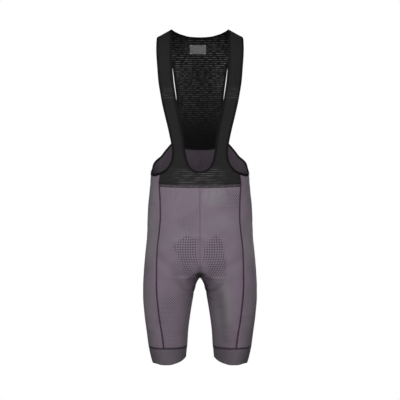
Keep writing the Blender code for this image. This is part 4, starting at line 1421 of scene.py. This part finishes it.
def makeLabel():
    left, right, top, bottom = (labelCut[key] for key in ("left", "right", "top", "bottom"))
    across = np.linspace(0, 1, labelCut["columns"] + 1)[None, :]
    down = np.linspace(0, 1, labelCut["rows"] + 1)[:, None]
    behind = chestPoint(between(left, right, across), between(top, bottom, down))
    outward = gridNormals(behind)
    # it bellies a little between its tacked corners
    belly = np.sin(math.pi * across) * np.sin(math.pi * down)
    near = behind - outward * (labelCut["gap"] + labelCut["sag"] * belly)[..., None]
    far = near - outward * labelCut["wall"]
    count, faces = belly.size, gridFaces(*belly.shape)
    border = rimLoops(*belly.shape)[0][0]
    there = np.roll(border, -1)
    sides = np.stack((border, there, count + there, count + border), -1)
    uv = clothMap(behind)
    points = np.concatenate((near.reshape(-1, 3), far.reshape(-1, 3)))
    faces = np.concatenate((faces, faces + count, sides)).tolist()
    parts = [(points, faces, np.concatenate((uv, uv)), bodyPart)]
    # a raised woven border all round
    inset, (_, raised) = labelCut["border"], labelCut["borderSize"]
    corners = [(left + inset, top + inset), (right - inset, top + inset),
               (right - inset, bottom - inset), (left + inset, bottom - inset)]
    loop = np.concatenate([np.linspace(a, b, labelCut["borderPoints"], endpoint=False)
                           for a, b in zip(corners, corners[1:] + corners[:1])])
    parts.append(tube(bodyPart, *onLabel(*loop.T), labelCut["borderSize"], labelCut["borderSides"],
                      True, labelCut["borderSquareness"]))
    # bar tacks: a short dense zigzag in each corner
    turns, thread = np.arange(labelCut["tackTurns"]), labelCut["tackThread"]
    wave = np.where(turns % 2 == 0, -1, 1) * labelCut["tackPitch"]
    reach = np.linspace(0, labelCut["tackLength"], len(turns))
    for (cornerX, cornerDrop), way in zip(corners, (1, -1, -1, 1)):
        line, up = onLabel(cornerX + way * reach, cornerDrop + wave)
        size, tackSides = (thread, thread), labelCut["tackSides"]
        parts.append(tube(threadPart, line + up * raised, up, size, tackSides))
    addParts("neckLabel", "neck_label", parts, [plain["wovenLabel"], plain["tackThread"]])


makeLabel()

# The seat pad: moulded foam inside the crotch, with channels where it bends.
padCut = {
    # heights on the centre seam that go with the points of the pad's outline
    "front": (-588, -600, -625, -655, -685, -705, -714.5),
    "back": (-596, -604, -625, -655, -685, -705, -714.5),
    "gap": 4.7, "edge": 2.0, "crown": 9.0, "acrossPower": 3, "alongPower": 4,
    "cell": 3.2, "columns": 18, "samples": 900,
    "smoothing": 4, "rimBulge": 0.4,
    # sewn channels: share of the half width, depth, width as a share of the half width
    "channels": [(0.0, 2.6, 0.07), (0.56, 1.8, 0.06)],
    # channels across the pad where it bends: station, depth, width in stations
    "bends": [(4.6, 1.7, 0.16), (9.4, 1.7, 0.16)],
}


def padStations():
    # height on the centre seam, edge height and edge angle: down the front, then up the back
    front, back = ([(height, edgeHeight, float(angleAt(edgeX, edgeHeight)))
                    for height, (edgeX, edgeHeight) in zip(padCut[side], padOutline[side][1:])]
                   for side in ("front", "back"))
    back = [(height, edgeHeight, 360 - angle) for height, edgeHeight, angle in back[::-1]]
    return [*front, (bodyForm["crotch"], padOutline["front"][-1][1], 180), *back]


def padGrid():
    stations = padStations()
    centre, edge, endAngle = (smoothCurve(range(len(stations)), column(stations, i))
                              for i in range(3))
    share = np.linspace(0, 1, padCut["columns"])[None, :]

    def patch(place):
        place = place[:, None]
        start = centreAngle(centre(place))
        start = np.where(place > len(padCut["front"]), 360 - start, start)
        height = between(centre(place), edge(place), share)
        return sectionPoint(between(start, endAngle(place), share), height)
    dense = np.linspace(0, len(stations) - 1, padCut["samples"])
    sample = patch(dense)
    places = spreadEvenly([sample[:, 0], sample[:, padCut["columns"] // 2]], dense, padCut["cell"])
    half = clearOfCentre(patch(places))
    half[:, 0, 0] = 0
    grid = bothHalves(half)
    across = np.concatenate((-share[0, :0:-1], share[0]))
    along = 2 * places[:, None] / (len(stations) - 1) - 1
    return grid, *np.broadcast_arrays(across, places[:, None], along)


def makePad():
    grid, across, place, along = padGrid()
    swell = (1 - np.abs(across) ** padCut["acrossPower"]) * (1 - along ** padCut["alongPower"])
    dents = sum(depth * bell(np.abs(across) - position, width)
                for position, depth, width in padCut["channels"])
    dents = dents + sum(depth * bell(place - station, width)
                        for station, depth, width in padCut["bends"])
    outward = gridNormals(grid)
    near = grid - outward * padCut["gap"]
    thickness = between(padCut["edge"], padCut["crown"], swell) - dents * swell
    far = near - outward * thickness[..., None]
    for _ in range(padCut["smoothing"]):
        around = far[:-2, 1:-1] + far[2:, 1:-1] + far[1:-1, :-2] + far[1:-1, 2:]
        far[1:-1, 1:-1] = far[1:-1, 1:-1] / 2 + around / 8
    points, faces, borders = doubleWall(near, far, padCut["rimBulge"])
    # the pad's channels are painted darker as shade, the more the deeper they are
    uv, shade = clothMap(grid), (-dents * swell).ravel()
    uv, shade = (np.concatenate((values, values, values[borders])) for values in (uv, shade))
    piece = addMesh("seatPad", "seat_pad", points, faces, [plain["brushedPad"]],
                    {"cloth": uv}, {"paintedFoldShade": shade})
    print("pad", along.size, "points a side")


makePad()

# The camera stands level with the middle of the garment, square to its front.
view = {"distance": 4.1, "height": -0.4947, "frameWidth": 1.16, "sensor": 36.0}
cameraData = bpy.data.cameras.new("camera")
cameraData.sensor_width = view["sensor"]
cameraData.lens = view["sensor"] * view["distance"] / view["frameWidth"]
camera = bpy.data.objects.new("camera", cameraData)
camera.location = (0, -view["distance"], view["height"])
camera.rotation_euler = (math.pi / 2, 0, 0)
bpy.context.collection.objects.link(camera)
bpy.context.scene.camera = camera

# A white floor, plain surroundings and soft studio light.
studio = {"floorHeight": -1.35, "floorRadius": 9.0, "floorSides": 96,
          "fillGlow": 0.2, "worldGlow": 0.07}
softLights = {
    # place, target, size, power
    "key": ((-2.0, -2.6, 1.6), (0, 0, -0.6), 1.6, 78),
    "fill": ((1.8, -2.7, 1.7), (0, 0, -0.6), 1.6, 71),
    "front": ((0.0, -4.2, -1.0), (0, 0, -0.6), 2.2, 83),
    "back": ((0.6, 4.0, 0.4), (0, 0, -0.5), 2.4, 150),
}


def makeGlow(owner, kind, end, given):
    # white to the camera, and a softer glow to the garment
    owner.use_nodes = True
    tree = owner.node_tree
    tree.nodes.clear()
    lit, seen = (put(tree, kind, {"Color": (1, 1, 1), "Strength": strength}).outputs[0]
                 for strength in (given, 1.0))
    rays = put(tree, "LightPath").outputs["Is Camera Ray"]
    mixed = put(tree, "MixShader", {0: rays, 1: lit, 2: seen}).outputs[0]
    feed(tree, put(tree, end).inputs, {"Surface": mixed})


turn = np.linspace(0, 2 * math.pi, studio["floorSides"], endpoint=False)
rim = np.stack((np.cos(turn) * studio["floorRadius"], np.sin(turn) * studio["floorRadius"],
                np.full(len(turn), studio["floorHeight"])), -1)
floorMesh = bpy.data.meshes.new("floor")
floorMesh.from_pydata(rim.tolist(), [], [list(range(len(rim)))])
floorMesh.materials.append(bpy.data.materials.new("paleFloor"))
makeGlow(floorMesh.materials[0], "Emission", "OutputMaterial", studio["fillGlow"])
floor = bpy.data.objects.new("floor", floorMesh)
bpy.context.collection.objects.link(floor)
bpy.context.scene.world = bpy.data.worlds.new("studio")
makeGlow(bpy.context.scene.world, "Background", "OutputWorld", studio["worldGlow"])

for name, (place, target, size, power) in softLights.items():
    lamp = bpy.data.lights.new(name, "AREA")
    lamp.size, lamp.energy = size, power
    stand = bpy.data.objects.new(name, lamp)
    stand.location = place
    stand.rotation_euler = (Vector(target) - Vector(place)).to_track_quat("-Z", "Y").to_euler()
    bpy.context.collection.objects.link(stand)

bpy.context.scene.view_settings.view_transform = "Standard"
print("camera, floor and lights set")
